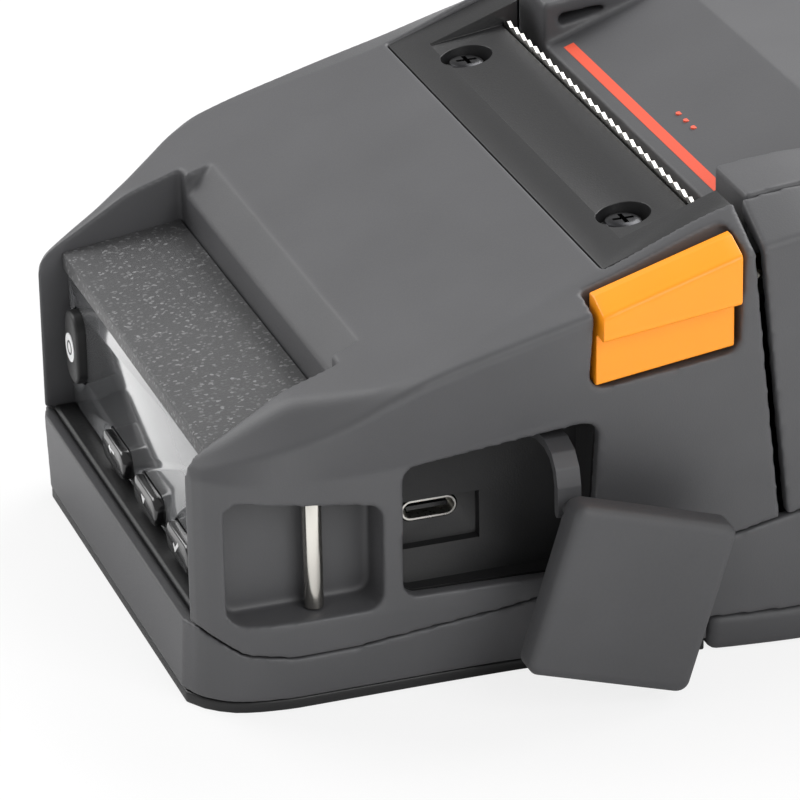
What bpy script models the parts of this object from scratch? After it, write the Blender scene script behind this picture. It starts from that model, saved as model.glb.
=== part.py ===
# Mobile receipt printer, lying on its back with the paper lid on top.
# The display end faces -Y, the port side and the release lever face +X, +Z is up.
# The origin is on the flat underside, under the middle of the body. Lengths are in metres.
import math

import bmesh
import bpy
from mathutils import Matrix, Vector

# Body. Its width follows from the paper's, and the places of its openings are shares of its
# three sizes, so that they stay on the skin when a size changes.
PLATEN_HALF_WIDTH = 0.0400
SIDE_ROOM = 0.0195
BODY_LENGTH = 0.162
BODY_HEIGHT = 0.077
HALF_WIDTH = PLATEN_HALF_WIDTH + SIDE_ROOM
HALF_LENGTH = BODY_LENGTH / 2
WALL = 0.0024
GAP = 0.0003
RUNNING_GAP = 0.0004
OVERRUN = 0.004

# The body's skin as cross sections from front to rear. Each row gives the place along the
# length, then width and height of the top edge, the side crease and the lower crease, and the
# width at the seam and at the base: shares of half the length, half the width and the height.
SECTION_SHARES = (
    (-0.981, 0.62, 0.548, 0.665, 0.535, 0.69, 0.517, 0.69, 0.655),
    (-0.95, 0.69, 0.566, 0.74, 0.545, 0.762, 0.527, 0.762, 0.722),
    (-0.898, 0.722, 0.596, 0.784, 0.564, 0.811, 0.525, 0.811, 0.773),
    (-0.84, 0.74, 0.632, 0.82, 0.583, 0.833, 0.521, 0.833, 0.793),
    (-0.778, 0.773, 0.67, 0.857, 0.605, 0.841, 0.518, 0.84, 0.802),
    (-0.704, 0.849, 0.697, 0.917, 0.649, 0.846, 0.517, 0.84, 0.802),
    (-0.63, 0.916, 0.725, 0.965, 0.704, 0.854, 0.521, 0.842, 0.802),
    (-0.568, 0.933, 0.747, 0.986, 0.74, 0.867, 0.53, 0.845, 0.802),
    (-0.37, 0.882, 0.817, 0.995, 0.8, 0.911, 0.577, 0.857, 0.805),
    (-0.178, 0.849, 0.883, 1.0, 0.851, 0.955, 0.631, 0.874, 0.823),
    (0.099, 0.849, 0.986, 1.0, 0.922, 0.968, 0.661, 0.916, 0.891),
    (0.247, 0.849, 1.0, 1.0, 0.942, 0.968, 0.669, 0.924, 0.908),
    (0.617, 0.849, 1.0, 1.0, 0.935, 0.968, 0.669, 0.933, 0.908),
    (0.864, 0.849, 0.948, 0.992, 0.87, 0.958, 0.623, 0.924, 0.891),
    (0.963, 0.849, 0.857, 0.941, 0.779, 0.924, 0.584, 0.891, 0.857),
    (1.0, 0.849, 0.753, 0.891, 0.662, 0.874, 0.519, 0.84, 0.798),
)
SEAM_HEIGHT_SHARE = 0.2

# Joint lines. The seam runs around the tray as shares of half the length and the height.
SEAM_SHARES = ((-1.0, 0.2), (-0.963, 0.1974), (-0.889, 0.1455), (-0.79, 0.1286),
               (-0.667, 0.1312), (-0.37, 0.1701), (0.074, 0.2792), (0.21, 0.3117),
               (0.37, 0.3403), (1.0, 0.3403))
SEAM_POINTS = tuple((y * HALF_LENGTH, z * BODY_HEIGHT) for y, z in SEAM_SHARES)
JOINT_TOP_Y = 0.084 * HALF_LENGTH
JOINT_CREASE_Y = 0.0914 * HALF_LENGTH
JOINT_BASE_Y = 0.1679 * HALF_LENGTH
JOINT_CREASE_Z = 0.9156 * BODY_HEIGHT
JOINT_BASE_Z = 0.2987 * BODY_HEIGHT
JOINT_WIDTH = 0.0013

# Base plate, tray and battery
BASE_THICKNESS = 0.0020
BASE_INSET = 0.0008
TRAY_FLOOR = 0.0020
BATTERY_FRONT_Y = 0.0296 * HALF_LENGTH
BATTERY_SHOE_HEIGHT = 0.0062
BATTERY_BODY_HALF_WIDTH = 0.7227 * HALF_WIDTH
BATTERY_BODY_TOP = 0.0188
BATTERY_BODY_STEP = 0.0046
BATTERY_BODY_FRONT_Y = BATTERY_FRONT_Y + BATTERY_BODY_STEP
BATTERY_CAP_DEPTH = 0.0040
BATTERY_EDGE = 0.0022
LATCH_WIDTH = 0.0200
LATCH_HEIGHT = 0.0060
LATCH_DEPTH = 0.0022
LATCH_PROUD = 0.0010
LATCH_CENTRE_Z = 0.0120
LATCH_TRAVEL = 0.0025

# Display end
PILLAR_INNER_X = 0.6941 * HALF_WIDTH
DISPLAY_FACE_Y = -0.9136 * HALF_LENGTH
WINDOW_THICKNESS = 0.0016
WINDOW_LOW_Z = 0.2078 * BODY_HEIGHT
BROW_FRONT_Y = -0.9235 * HALF_LENGTH
BROW_FRONT_Z = 0.5584 * BODY_HEIGHT
BROW_REAR_Y = -0.6667 * HALF_LENGTH
BROW_REAR_Z = 0.5948 * BODY_HEIGHT
BROW_THICKNESS = 0.0022
BROW_LIP = 0.0030
BEVEL_LOW_Z = 0.6623 * BODY_HEIGHT
BEVEL_REAR_Y = -0.6074 * HALF_LENGTH
BEVEL_REAR_Z = 0.7351 * BODY_HEIGHT
BEVEL_HALF_WIDTH = 0.6387 * HALF_WIDTH
LCD_WIDTH = 0.874 * HALF_WIDTH
LCD_HEIGHT = 0.226 * BODY_HEIGHT
LCD_DEPTH = 0.0050
LCD_CENTRE_X = -0.0756 * HALF_WIDTH
LCD_CENTRE_Z = BROW_FRONT_Z - BROW_LIP - (LCD_HEIGHT + GAP) / 2
KEY_WIDTH = 0.0125
KEY_HEIGHT = 0.0050
KEY_PROUD = 0.0016
KEY_FILLET = 0.0018
KEY_CENTRE_SHARES = (-0.2017, 0.1008, 0.4034)
KEY_CENTRES_X = tuple(share * HALF_WIDTH for share in KEY_CENTRE_SHARES)
KEY_MARGIN = 0.0007
KEY_CENTRE_Z = WINDOW_LOW_Z + KEY_HEIGHT / 2 + KEY_MARGIN
POWER_WIDTH = 0.0070
POWER_HEIGHT = 0.0125
POWER_CENTRE_X = -0.5916 * HALF_WIDTH
POWER_CENTRE_Z = 0.3701 * BODY_HEIGHT
GASKET_HEIGHT = 0.0045
GASKET_FRONT_Y = -0.9556 * HALF_LENGTH
GASKET_REAR_Y = -0.8765 * HALF_LENGTH

# Strap windows in the front corners
STRAP_WALL = 0.0016
STRAP_INNER_X = 0.7193 * HALF_WIDTH
STRAP_FRONT_Y = -0.9198 * HALF_LENGTH
STRAP_REAR_Y = -0.621 * HALF_LENGTH
STRAP_LOW_Z = 0.2143 * BODY_HEIGHT
STRAP_HIGH_FRONT_Z = 0.4883 * BODY_HEIGHT
STRAP_HIGH_REAR_Z = 0.4442 * BODY_HEIGHT
STRAP_BAR_RADIUS = 0.0015
STRAP_BAR_X = STRAP_INNER_X + 2 * STRAP_BAR_RADIUS
STRAP_BAR_Y = -0.7432 * HALF_LENGTH

# Port recess
PORT_FRONT_Y = -0.5827 * HALF_LENGTH
PORT_REAR_Y = -0.2123 * HALF_LENGTH
PORT_LOW_Z = 0.2312 * BODY_HEIGHT
PORT_HIGH_FRONT_Z = 0.5195 * BODY_HEIGHT
PORT_HIGH_REAR_Z = 0.5909 * BODY_HEIGHT
PORT_CORNER = 0.0025
PANEL_THICKNESS = 0.0030
PANEL_FACE_X = 0.7647 * HALF_WIDTH
PANEL_BACK_X = PANEL_FACE_X - PANEL_THICKNESS
PANEL_RIM = 0.0022
USB_CENTRE_Y = -0.5037 * HALF_LENGTH
USB_CENTRE_Z = 0.3792 * BODY_HEIGHT
USB_WIDTH = 0.00894
USB_HEIGHT = 0.00326
USB_SHELL_WALL = 0.0003
USB_LENGTH = 0.0073
USB_TONGUE_WIDTH = 0.00669
USB_TONGUE_HEIGHT = 0.0007
USB_TONGUE_SETBACK = 0.0009
USB_MOUTH_X = PANEL_FACE_X - PANEL_THICKNESS / 2
USB_POCKET_SIDE = 0.0032
USB_POCKET_BELOW = 0.0040
USB_POCKET_ABOVE = 0.0008

# Port cover, hanging open on its strap. The strap's line is measured from the pivot.
COVER_WIDTH = 0.0275
COVER_HEIGHT = 0.0285
COVER_THICKNESS = 0.0050
COVER_FLANGE_THICKNESS = 0.0022
COVER_FLANGE_INSET = 0.0012
COVER_STANDOFF = 0.0032
COVER_CENTRE_Y = -0.1975 * HALF_LENGTH
COVER_CENTRE_Z = 0.0196
COVER_TILT_DEGREES = 17.5
COVER_EDGE = 0.0016
COVER_FACE_X = HALF_WIDTH + COVER_STANDOFF
COVER_PIVOT_INSET_Y = 0.0076
COVER_PIVOT_RISE = 0.0138
COVER_PIVOT_Y = COVER_CENTRE_Y - COVER_PIVOT_INSET_Y
COVER_PIVOT_Z = COVER_CENTRE_Z + COVER_PIVOT_RISE
TETHER_WIDTH = 0.0038
TETHER_THICKNESS = 0.0015
TETHER_PIN_RADIUS = 0.0012
TETHER_ROOM = 0.0007
TETHER_LINE = ((-0.0143, 0.0074), (-0.0105, 0.0084), (-0.0065, 0.0086), (-0.0037, 0.0077),
               (-0.0021, 0.0059), (-0.0014, 0.0034), (-0.0013, -0.0016))

# Screw bar
BAR_FRONT_Y = -0.1778 * HALF_LENGTH
BAR_FLOOR_FRONT_Y = -0.1136 * HALF_LENGTH
BAR_SEAT_REAR_Y = -0.0296 * HALF_LENGTH
BAR_FLOOR_REAR_Y = 0.0444 * HALF_LENGTH
BAR_REAR_Y = 0.079 * HALF_LENGTH
BAR_HALF_WIDTH = 0.8487 * HALF_WIDTH
BAR_FRONT_Z = 0.8766 * BODY_HEIGHT
BAR_REAR_Z = 0.9727 * BODY_HEIGHT
BAR_FLOOR_FRONT_Z = 0.8961 * BODY_HEIGHT
BAR_FLOOR_REAR_Z = 0.9208 * BODY_HEIGHT
BAR_FLOOR_HALF_WIDTH = 0.7395 * HALF_WIDTH
BAR_THICKNESS = 0.0040
SCREW_X = 0.6034 * HALF_WIDTH
SCREW_Y = -0.0691 * HALF_LENGTH
SCREW_HOLE_RADIUS = 0.0043
SCREW_HOLE_DEPTH = 0.0026
SCREW_HEAD_RADIUS = 0.0030
SCREW_HEAD_HEIGHT = 0.0016
SCREW_SHANK_RADIUS = 0.0013
SCREW_SHANK_LENGTH = 0.0060
SCREW_CROSS_WIDTH = 0.0007
SCREW_CROSS_LENGTH = 0.0032
SCREW_CROSS_DEPTH = 0.0009

# Release lever in its pocket
LEVER_FRONT_Y = -0.237 * HALF_LENGTH
LEVER_REAR_Y = 0.0617 * HALF_LENGTH
LEVER_LOW_FRONT_Z = 0.6597 * BODY_HEIGHT
LEVER_LOW_REAR_Z = 0.7013 * BODY_HEIGHT
LEVER_HIGH_FRONT_Z = 0.8727 * BODY_HEIGHT
LEVER_HIGH_REAR_Z = 0.9662 * BODY_HEIGHT
LEVER_LIP_FRONT_Z = 0.7792 * BODY_HEIGHT
LEVER_LIP_REAR_Z = 0.8169 * BODY_HEIGHT
LEVER_POCKET_X = 0.8874 * HALF_WIDTH
LEVER_BACK_X = 0.916 * HALF_WIDTH
LEVER_TOP_X = 0.9445 * HALF_WIDTH
LEVER_PANEL_X = 0.9664 * HALF_WIDTH
LEVER_RIDGE_X = 1.0218 * HALF_WIDTH
LEVER_SIDE_GAP = 0.0009
LEVER_TOP_DROP = 0.0014
LEVER_RIDGE_DROP = 0.0031

# Paper lid
LID_HALF_WIDTH = BAR_HALF_WIDTH - GAP
LID_FRONT_Y = 0.1086 * HALF_LENGTH
LID_SHELL = 0.0026
LID_SUNK_HALF_WIDTH = 0.6303 * HALF_WIDTH
LID_SUNK_WING = 0.0060
LID_SUNK_FRONT_Z = 0.8909 * BODY_HEIGHT
LID_SUNK_REAR_Y = 0.4074 * HALF_LENGTH
LID_SUNK_REAR_Z = 1.0026 * BODY_HEIGHT
LID_HINGE_Y = 0.9086 * HALF_LENGTH
LID_HINGE_Z = 0.8312 * BODY_HEIGHT
LID_HINGE_RADIUS = 0.0014
LID_KNUCKLE_RADIUS = 0.0032
LID_KNUCKLE_WIDTH = 0.0090
LID_KNUCKLE_X = 0.5546 * HALF_WIDTH
LID_REAR_Y = 0.9753 * HALF_LENGTH
LID_REAR_LOW_Z = 0.7662 * BODY_HEIGHT
LID_LINE_SHARES = (0.25, 0.617, 0.864)

# Print mechanism, laid out from the platen
PLATEN_DROP = 0.0084
PLATEN_Y = 0.1605 * HALF_LENGTH
PLATEN_Z = LID_SUNK_FRONT_Z - PLATEN_DROP
PLATEN_RADIUS = 0.0050
PLATEN_END_GAP = 0.0010
SHAFT_RADIUS = 0.0020
SHAFT_TIP = 0.0018
LID_PLATE_INNER_X = PLATEN_HALF_WIDTH + PLATEN_END_GAP
LID_PLATE_THICKNESS = 0.0020
LID_PLATE_HALF_DEPTH = 0.0055
BUSH_WALL = 0.0015
BUSH_FLANGE = 0.0006
HEAD_THICKNESS = 0.0014
HEAD_BELOW = 0.0062
HEAD_ABOVE = 0.0053
HEAD_LOW_Z = PLATEN_Z - HEAD_BELOW
HEAD_HIGH_Z = PLATEN_Z + HEAD_ABOVE
HEAD_TO_PLATEN = 0.0003
SINK_THICKNESS = 0.0034
SINK_INSET = 0.0010
HEAD_REAR_Y = PLATEN_Y - PLATEN_RADIUS - HEAD_TO_PLATEN
HEAD_FRONT_Y = HEAD_REAR_Y - HEAD_THICKNESS
SINK_REAR_Y = HEAD_FRONT_Y - GAP
SINK_FRONT_Y = SINK_REAR_Y - SINK_THICKNESS
FRAME_PLATE_X = LID_PLATE_INNER_X + LID_PLATE_THICKNESS + BUSH_FLANGE + 2 * GAP
FRAME_PLATE_THICKNESS = 0.0014
FRAME_LOW_Z = BATTERY_BODY_TOP + WALL + 2 * GAP
FRAME_HIGH_Z = BAR_FRONT_Z - BAR_THICKNESS - WALL - GAP
FRAME_FLOOR = 0.0016
CROSSBAR_THICKNESS = 0.0024
CROSSBAR_HEIGHT = 0.0074
CROSSBAR_HIGH_Z = FRAME_HIGH_Z - GAP
CROSSBAR_LOW_Z = CROSSBAR_HIGH_Z - CROSSBAR_HEIGHT
SPRING_ROOM = 0.0052
CROSSBAR_FRONT_Y = SINK_FRONT_Y - SPRING_ROOM - CROSSBAR_THICKNESS
SPRING_RADIUS = 0.0022
SPRING_WIRE = 0.0003
SPRING_TURNS = 4
SPRING_X = 0.6 * PLATEN_HALF_WIDTH
TEAR_BAR_THICKNESS = 0.0006
TEAR_BAR_HEIGHT = 0.0052
TEAR_BAR_PROUD = 0.0012
TEAR_TEETH = 28

# Latch shaft
LATCH_SHAFT_RADIUS = 0.0018
LATCH_ARM_THICKNESS = 0.0012
LATCH_ARM_WIDTH = 0.0030
LATCH_BOSS_RADIUS = 0.0032
LATCH_SHAFT_DROP = 0.0042
LATCH_ARM_X = FRAME_PLATE_X + FRAME_PLATE_THICKNESS + RUNNING_GAP
LATCH_SHAFT_Y = CROSSBAR_FRONT_Y - LATCH_BOSS_RADIUS - 2 * RUNNING_GAP
LATCH_SHAFT_Z = PLATEN_Z - LATCH_SHAFT_DROP
FRAME_FRONT_Y = LATCH_SHAFT_Y - LATCH_BOSS_RADIUS - 2 * RUNNING_GAP
FRAME_REAR_Y = LID_FRONT_Y - 2 * SHAFT_RADIUS / 2

# Gears, all of one tooth size
GEAR_MODULE = 0.0007
PLATEN_TEETH = 14
IDLER_TEETH = 24
PINION_TEETH = 12
GEAR_WIDTH = 0.0024
GEAR_OUTER_X = -(LATCH_ARM_X + LATCH_ARM_THICKNESS + RUNNING_GAP + GEAR_WIDTH)
SHAFT_LEFT_X = GEAR_OUTER_X - GAP / 2
SHAFT_RIGHT_X = LATCH_ARM_X + LATCH_ARM_THICKNESS + SHAFT_TIP
GEAR_BACKLASH = 0.00012
PINION_DIRECTION_DEGREES = 225.0
STUD_RADIUS = 0.0015
STUD_HEAD = 0.0005
MOTOR_RADIUS = 0.0095
MOTOR_LENGTH = 0.0170
MOTOR_SHAFT_RADIUS = 0.0010

# Roll compartment
CRADLE_Y = 0.5679 * HALF_LENGTH
CRADLE_RADIUS = 0.3358 * HALF_LENGTH
CRADLE_SHELL = 0.0016
CRADLE_FLOOR_GAP = 0.0012
CRADLE_Z = BATTERY_BODY_TOP + WALL + CRADLE_FLOOR_GAP + CRADLE_SHELL + CRADLE_RADIUS
CRADLE_HALF_WIDTH = PLATEN_HALF_WIDTH + 2 * CRADLE_SHELL
CRADLE_RIM_DROP = 0.0012
CRADLE_RIM_Z = PLATEN_Z - LID_PLATE_HALF_DEPTH - CRADLE_RIM_DROP
GUIDE_HEADROOM = 0.0043
GUIDE_RADIUS = BODY_HEIGHT - GUIDE_HEADROOM - CRADLE_Z
GUIDE_THICKNESS = 0.0018
GUIDE_FACE_X = PLATEN_HALF_WIDTH + GAP
GUIDE_FOOT_WIDTH = 0.0100
GUIDE_HUB_RADIUS = 0.0060
GUIDE_HUB_HEIGHT = 0.0030

# Electronics
BOARD_FRONT_Y = -0.7901 * HALF_LENGTH
BOARD_REAR_Y = -0.2222 * HALF_LENGTH
BOARD_HALF_WIDTH = 0.6387 * HALF_WIDTH
BOARD_HEIGHT_Z = 0.0088
BOARD_THICKNESS = 0.0016
BOARD_POST_RADIUS = 0.0024
BOARD_POST_INSET = 0.0050
MODULE_SIZE = 0.0150
MODULE_INSET = 0.0080
MODULE_HEIGHT = 0.0024
CONTACT_WIDTH = 0.0120
CONTACT_DEPTH = 0.0040
CONTACT_HEIGHT = 0.0040
BASE_SCREW_RADIUS = 0.0026
BASE_SCREW_DEPTH = 0.0012
BASE_SCREW_X = 0.605 * HALF_WIDTH
BASE_SCREW_FRONT_Y = -0.7654 * HALF_LENGTH
BASE_SCREW_REAR_Y = -0.1235 * HALF_LENGTH

ROUND_STEPS = 32
SMALL_STEPS = 20

PART = None
CUTTERS = None


def start_scene():
    """Empty the scene and make one collection for the parts and one for the cutters."""
    global PART, CUTTERS
    for old in list(bpy.data.objects):
        bpy.data.objects.remove(old, do_unlink=True)
    PART = bpy.data.collections.new("mobile_printer")
    CUTTERS = bpy.data.collections.new("cutters")
    for made in (PART, CUTTERS):
        bpy.context.scene.collection.children.link(made)


def finish(name, colour, roughness, metallic=0.0):
    """One material with plain values."""
    made = bpy.data.materials.new(name)
    made.use_nodes = True
    shader = made.node_tree.nodes["Principled BSDF"]
    shader.inputs["Base Color"].default_value = (*colour, 1.0)
    shader.inputs["Roughness"].default_value = roughness
    shader.inputs["Metallic"].default_value = metallic
    return made


def place(name, mesh, material):
    """Put a mesh in the scene: a part where it has a material, or else a cutter."""
    thing = bpy.data.objects.new(name, mesh)
    if material is None:
        CUTTERS.objects.link(thing)
        thing.hide_render = True
        thing.display_type = "WIRE"
    else:
        mesh.materials.append(material)
        PART.objects.link(thing)
    return thing


def from_bmesh(name, form, material):
    """Turn a bmesh into an object with its faces pointing out."""
    bmesh.ops.recalc_face_normals(form, faces=form.faces)
    mesh = bpy.data.meshes.new(name)
    form.to_mesh(mesh)
    form.free()
    return place(name, mesh, material)


def box(name, low, high, material=None):
    """A box between two corners."""
    low = Vector(low)
    high = Vector(high)
    form = bmesh.new()
    bmesh.ops.create_cube(form, size=1)
    bmesh.ops.scale(form, vec=high - low, verts=form.verts)
    bmesh.ops.translate(form, vec=(low + high) / 2, verts=form.verts)
    return from_bmesh(name, form, material)


AXES = {
    "x": Matrix(((0, 0, 1, 0), (1, 0, 0, 0), (0, 1, 0, 0), (0, 0, 0, 1))),
    "y": Matrix(((1, 0, 0, 0), (0, 0, -1, 0), (0, 1, 0, 0), (0, 0, 0, 1))),
    "z": Matrix.Identity(4),
}
ALONG = {"x": Vector((1, 0, 0)), "y": Vector((0, 1, 0)), "z": Vector((0, 0, 1))}


def prism(name, axis, outlines, low, high, material=None):
    """Flat outlines extruded along an axis. An outline inside another one is a hole.

    The outline's two numbers are (y, z) along x, (x, z) along y and (x, y) along z.
    """
    flat = bpy.data.curves.new(name, "CURVE")
    flat.dimensions = "2D"
    flat.fill_mode = "BOTH"
    flat.extrude = (high - low) / 2
    for outline in outlines:
        spline = flat.splines.new("POLY")
        spline.points.add(len(outline) - 1)
        for point, (first, second) in zip(spline.points, outline):
            point.co = (first, second, 0, 1)
        spline.use_cyclic_u = True
    guide = bpy.data.objects.new(name + "_outline", flat)
    CUTTERS.objects.link(guide)
    graph = bpy.context.evaluated_depsgraph_get()
    mesh = bpy.data.meshes.new_from_object(guide.evaluated_get(graph))
    bpy.data.objects.remove(guide, do_unlink=True)
    mesh.materials.clear()
    form = bmesh.new()
    form.from_mesh(mesh)
    bpy.data.meshes.remove(mesh)
    bmesh.ops.remove_doubles(form, verts=form.verts, dist=GAP / 100)
    bmesh.ops.transform(form, matrix=AXES[axis], verts=form.verts)
    bmesh.ops.translate(form, vec=ALONG[axis] * (low + high) / 2, verts=form.verts)
    return from_bmesh(name, form, material)


def rod(name, axis, centre, low, high, radius, material=None, steps=ROUND_STEPS, tip=None):
    """A cylinder, or a cone where it has a tip radius, along an axis."""
    form = bmesh.new()
    bmesh.ops.create_cone(form, cap_ends=True, segments=steps, radius1=radius,
                          radius2=radius if tip is None else tip, depth=high - low)
    bmesh.ops.transform(form, matrix=AXES[axis], verts=form.verts)
    first, second = centre
    middle = (low + high) / 2
    spot = {"x": (middle, first, second), "y": (first, middle, second),
            "z": (first, second, middle)}[axis]
    bmesh.ops.translate(form, vec=spot, verts=form.verts)
    thing = from_bmesh(name, form, material)
    thing.data.shade_smooth()
    thing.data.set_sharp_from_angle(angle=math.radians(40))
    return thing


def mix(target, operation, *tools):
    """Cut, join or keep the common space of the target and each tool."""
    for tool in tools:
        step = target.modifiers.new(operation.lower(), "BOOLEAN")
        step.operation = operation
        step.solver = "EXACT"
        step.object = tool
    return target


def cut(target, *tools):
    return mix(target, "DIFFERENCE", *tools)


def join(target, *tools):
    return mix(target, "UNION", *tools)


def keep(target, *tools):
    return mix(target, "INTERSECT", *tools)


def soften(target, width, segments=2):
    """Round the sharp edges of a part."""
    bevel = target.modifiers.new("bevel", "BEVEL")
    bevel.width = width
    bevel.segments = segments
    bevel.limit_method = "ANGLE"
    return target


def circle(centre, radius, steps=ROUND_STEPS, start=0.0, sweep=2 * math.pi):
    """Points on an arc. A full turn leaves out the repeated last point."""
    whole = abs(sweep - 2 * math.pi) < 1e-9
    count = steps if whole else steps + 1
    return [(centre[0] + radius * math.cos(start + sweep * i / steps),
             centre[1] + radius * math.sin(start + sweep * i / steps)) for i in range(count)]


def rounded(points, radius, steps=4):
    """Round each corner of a convex outline that runs anticlockwise."""
    result = []
    count = len(points)
    for index in range(count):
        before = Vector(points[index - 1])
        here = Vector(points[index])
        after = Vector(points[(index + 1) % count])
        to_before = (before - here).normalized()
        to_after = (after - here).normalized()
        half = to_before.angle(to_after) / 2
        reach = radius / math.tan(half)
        centre = here + (to_before + to_after).normalized() * (radius / math.sin(half))
        start = here + to_before * reach - centre
        turn = math.pi - 2 * half
        for step in range(steps + 1):
            angle = turn * step / steps
            spun = (start.x * math.cos(angle) - start.y * math.sin(angle),
                    start.x * math.sin(angle) + start.y * math.cos(angle))
            result.append((centre.x + spun[0], centre.y + spun[1]))
    return result


def oblong(centre, width, height, steps=6):
    """A slot shape with round ends, in the outline's two axes."""
    radius = height / 2
    reach = width / 2 - radius
    right = circle((centre[0] + reach, centre[1]), radius, steps, -math.pi / 2, math.pi)
    left = circle((centre[0] - reach, centre[1]), radius, steps, math.pi / 2, math.pi)
    return right + left


def skin(name, inset, low_z, material=None):
    """The body's outer form, or the space inside it at a distance below the skin."""
    form = bmesh.new()
    rings = []
    for y_share, *shares in SECTION_SHARES:
        y = y_share * (HALF_LENGTH - inset)
        top_x, top_z, crease_x, crease_z, lower_x, lower_z, seam_x, base_x = shares
        half = [
            (top_x * HALF_WIDTH - inset / 2, top_z * BODY_HEIGHT - inset),
            (crease_x * HALF_WIDTH - inset, crease_z * BODY_HEIGHT - inset / 2),
            (lower_x * HALF_WIDTH - inset, lower_z * BODY_HEIGHT - inset / 2),
            (seam_x * HALF_WIDTH - inset, SEAM_HEIGHT_SHARE * BODY_HEIGHT),
            (base_x * HALF_WIDTH - inset, low_z),
        ]
        ring = half + [(-x, z) for x, z in reversed(half)]
        rings.append([form.verts.new((x, y, z)) for x, z in ring])
    count = len(rings[0])
    for first, second in zip(rings, rings[1:]):
        for index in range(count):
            after = (index + 1) % count
            form.faces.new((first[index], first[after], second[after], second[index]))
    form.faces.new(rings[0])
    form.faces.new(reversed(rings[-1]))
    bmesh.ops.triangulate(form, faces=form.faces)
    return from_bmesh(name, form, material)


def top_line_z(y):
    """Height of the body's top edge at a place along the length."""
    rows = [(row[0] * HALF_LENGTH, row[2] * BODY_HEIGHT) for row in SECTION_SHARES]
    for (y0, z0), (y1, z1) in zip(rows, rows[1:]):
        if y0 <= y <= y1:
            return z0 + (z1 - z0) * (y - y0) / (y1 - y0)
    return rows[-1][1]


def side_width(y, column):
    """Half width of the body's skin at a place along the length."""
    rows = [(row[0] * HALF_LENGTH, row[column] * HALF_WIDTH) for row in SECTION_SHARES]
    for (y0, x0), (y1, x1) in zip(rows, rows[1:]):
        if y0 <= y <= y1:
            return x0 + (x1 - x0) * (y - y0) / (y1 - y0)
    return rows[-1][1]


def base_outline(inset, front, rear):
    """Plan of the underside between two places along the length."""
    places = [front] + [row[0] * HALF_LENGTH for row in SECTION_SHARES
                        if front < row[0] * HALF_LENGTH < rear] + [rear]
    right = [(side_width(y, 8) - inset, y) for y in places]
    return right + [(-x, y) for x, y in reversed(right)]


def seam_side(shift, above):
    """Side view of the space above or below the seam, moved away from it by a shift."""
    line = [(y, z + shift) for y, z in SEAM_POINTS]
    edge = HALF_LENGTH + OVERRUN
    line[0] = (-edge, line[0][1])
    line[-1] = (edge, line[-1][1])
    far = BODY_HEIGHT + OVERRUN if above else -OVERRUN
    return line + [(edge, far), (-edge, far)]


def joint_side(shift, rear):
    """Side view of the space behind or in front of the black joint line."""
    edge = HALF_LENGTH + OVERRUN
    top = BODY_HEIGHT + OVERRUN
    far = edge if rear else -edge
    return [(JOINT_BASE_Y + shift, -OVERRUN), (JOINT_BASE_Y + shift, JOINT_BASE_Z),
            (JOINT_CREASE_Y + shift, JOINT_CREASE_Z), (JOINT_TOP_Y + shift, top),
            (far, top), (far, -OVERRUN)]


def across(name, outline, half_width, material=None):
    """A side view extruded across the whole body."""
    return prism(name, "x", [outline], -half_width, half_width, material)


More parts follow.
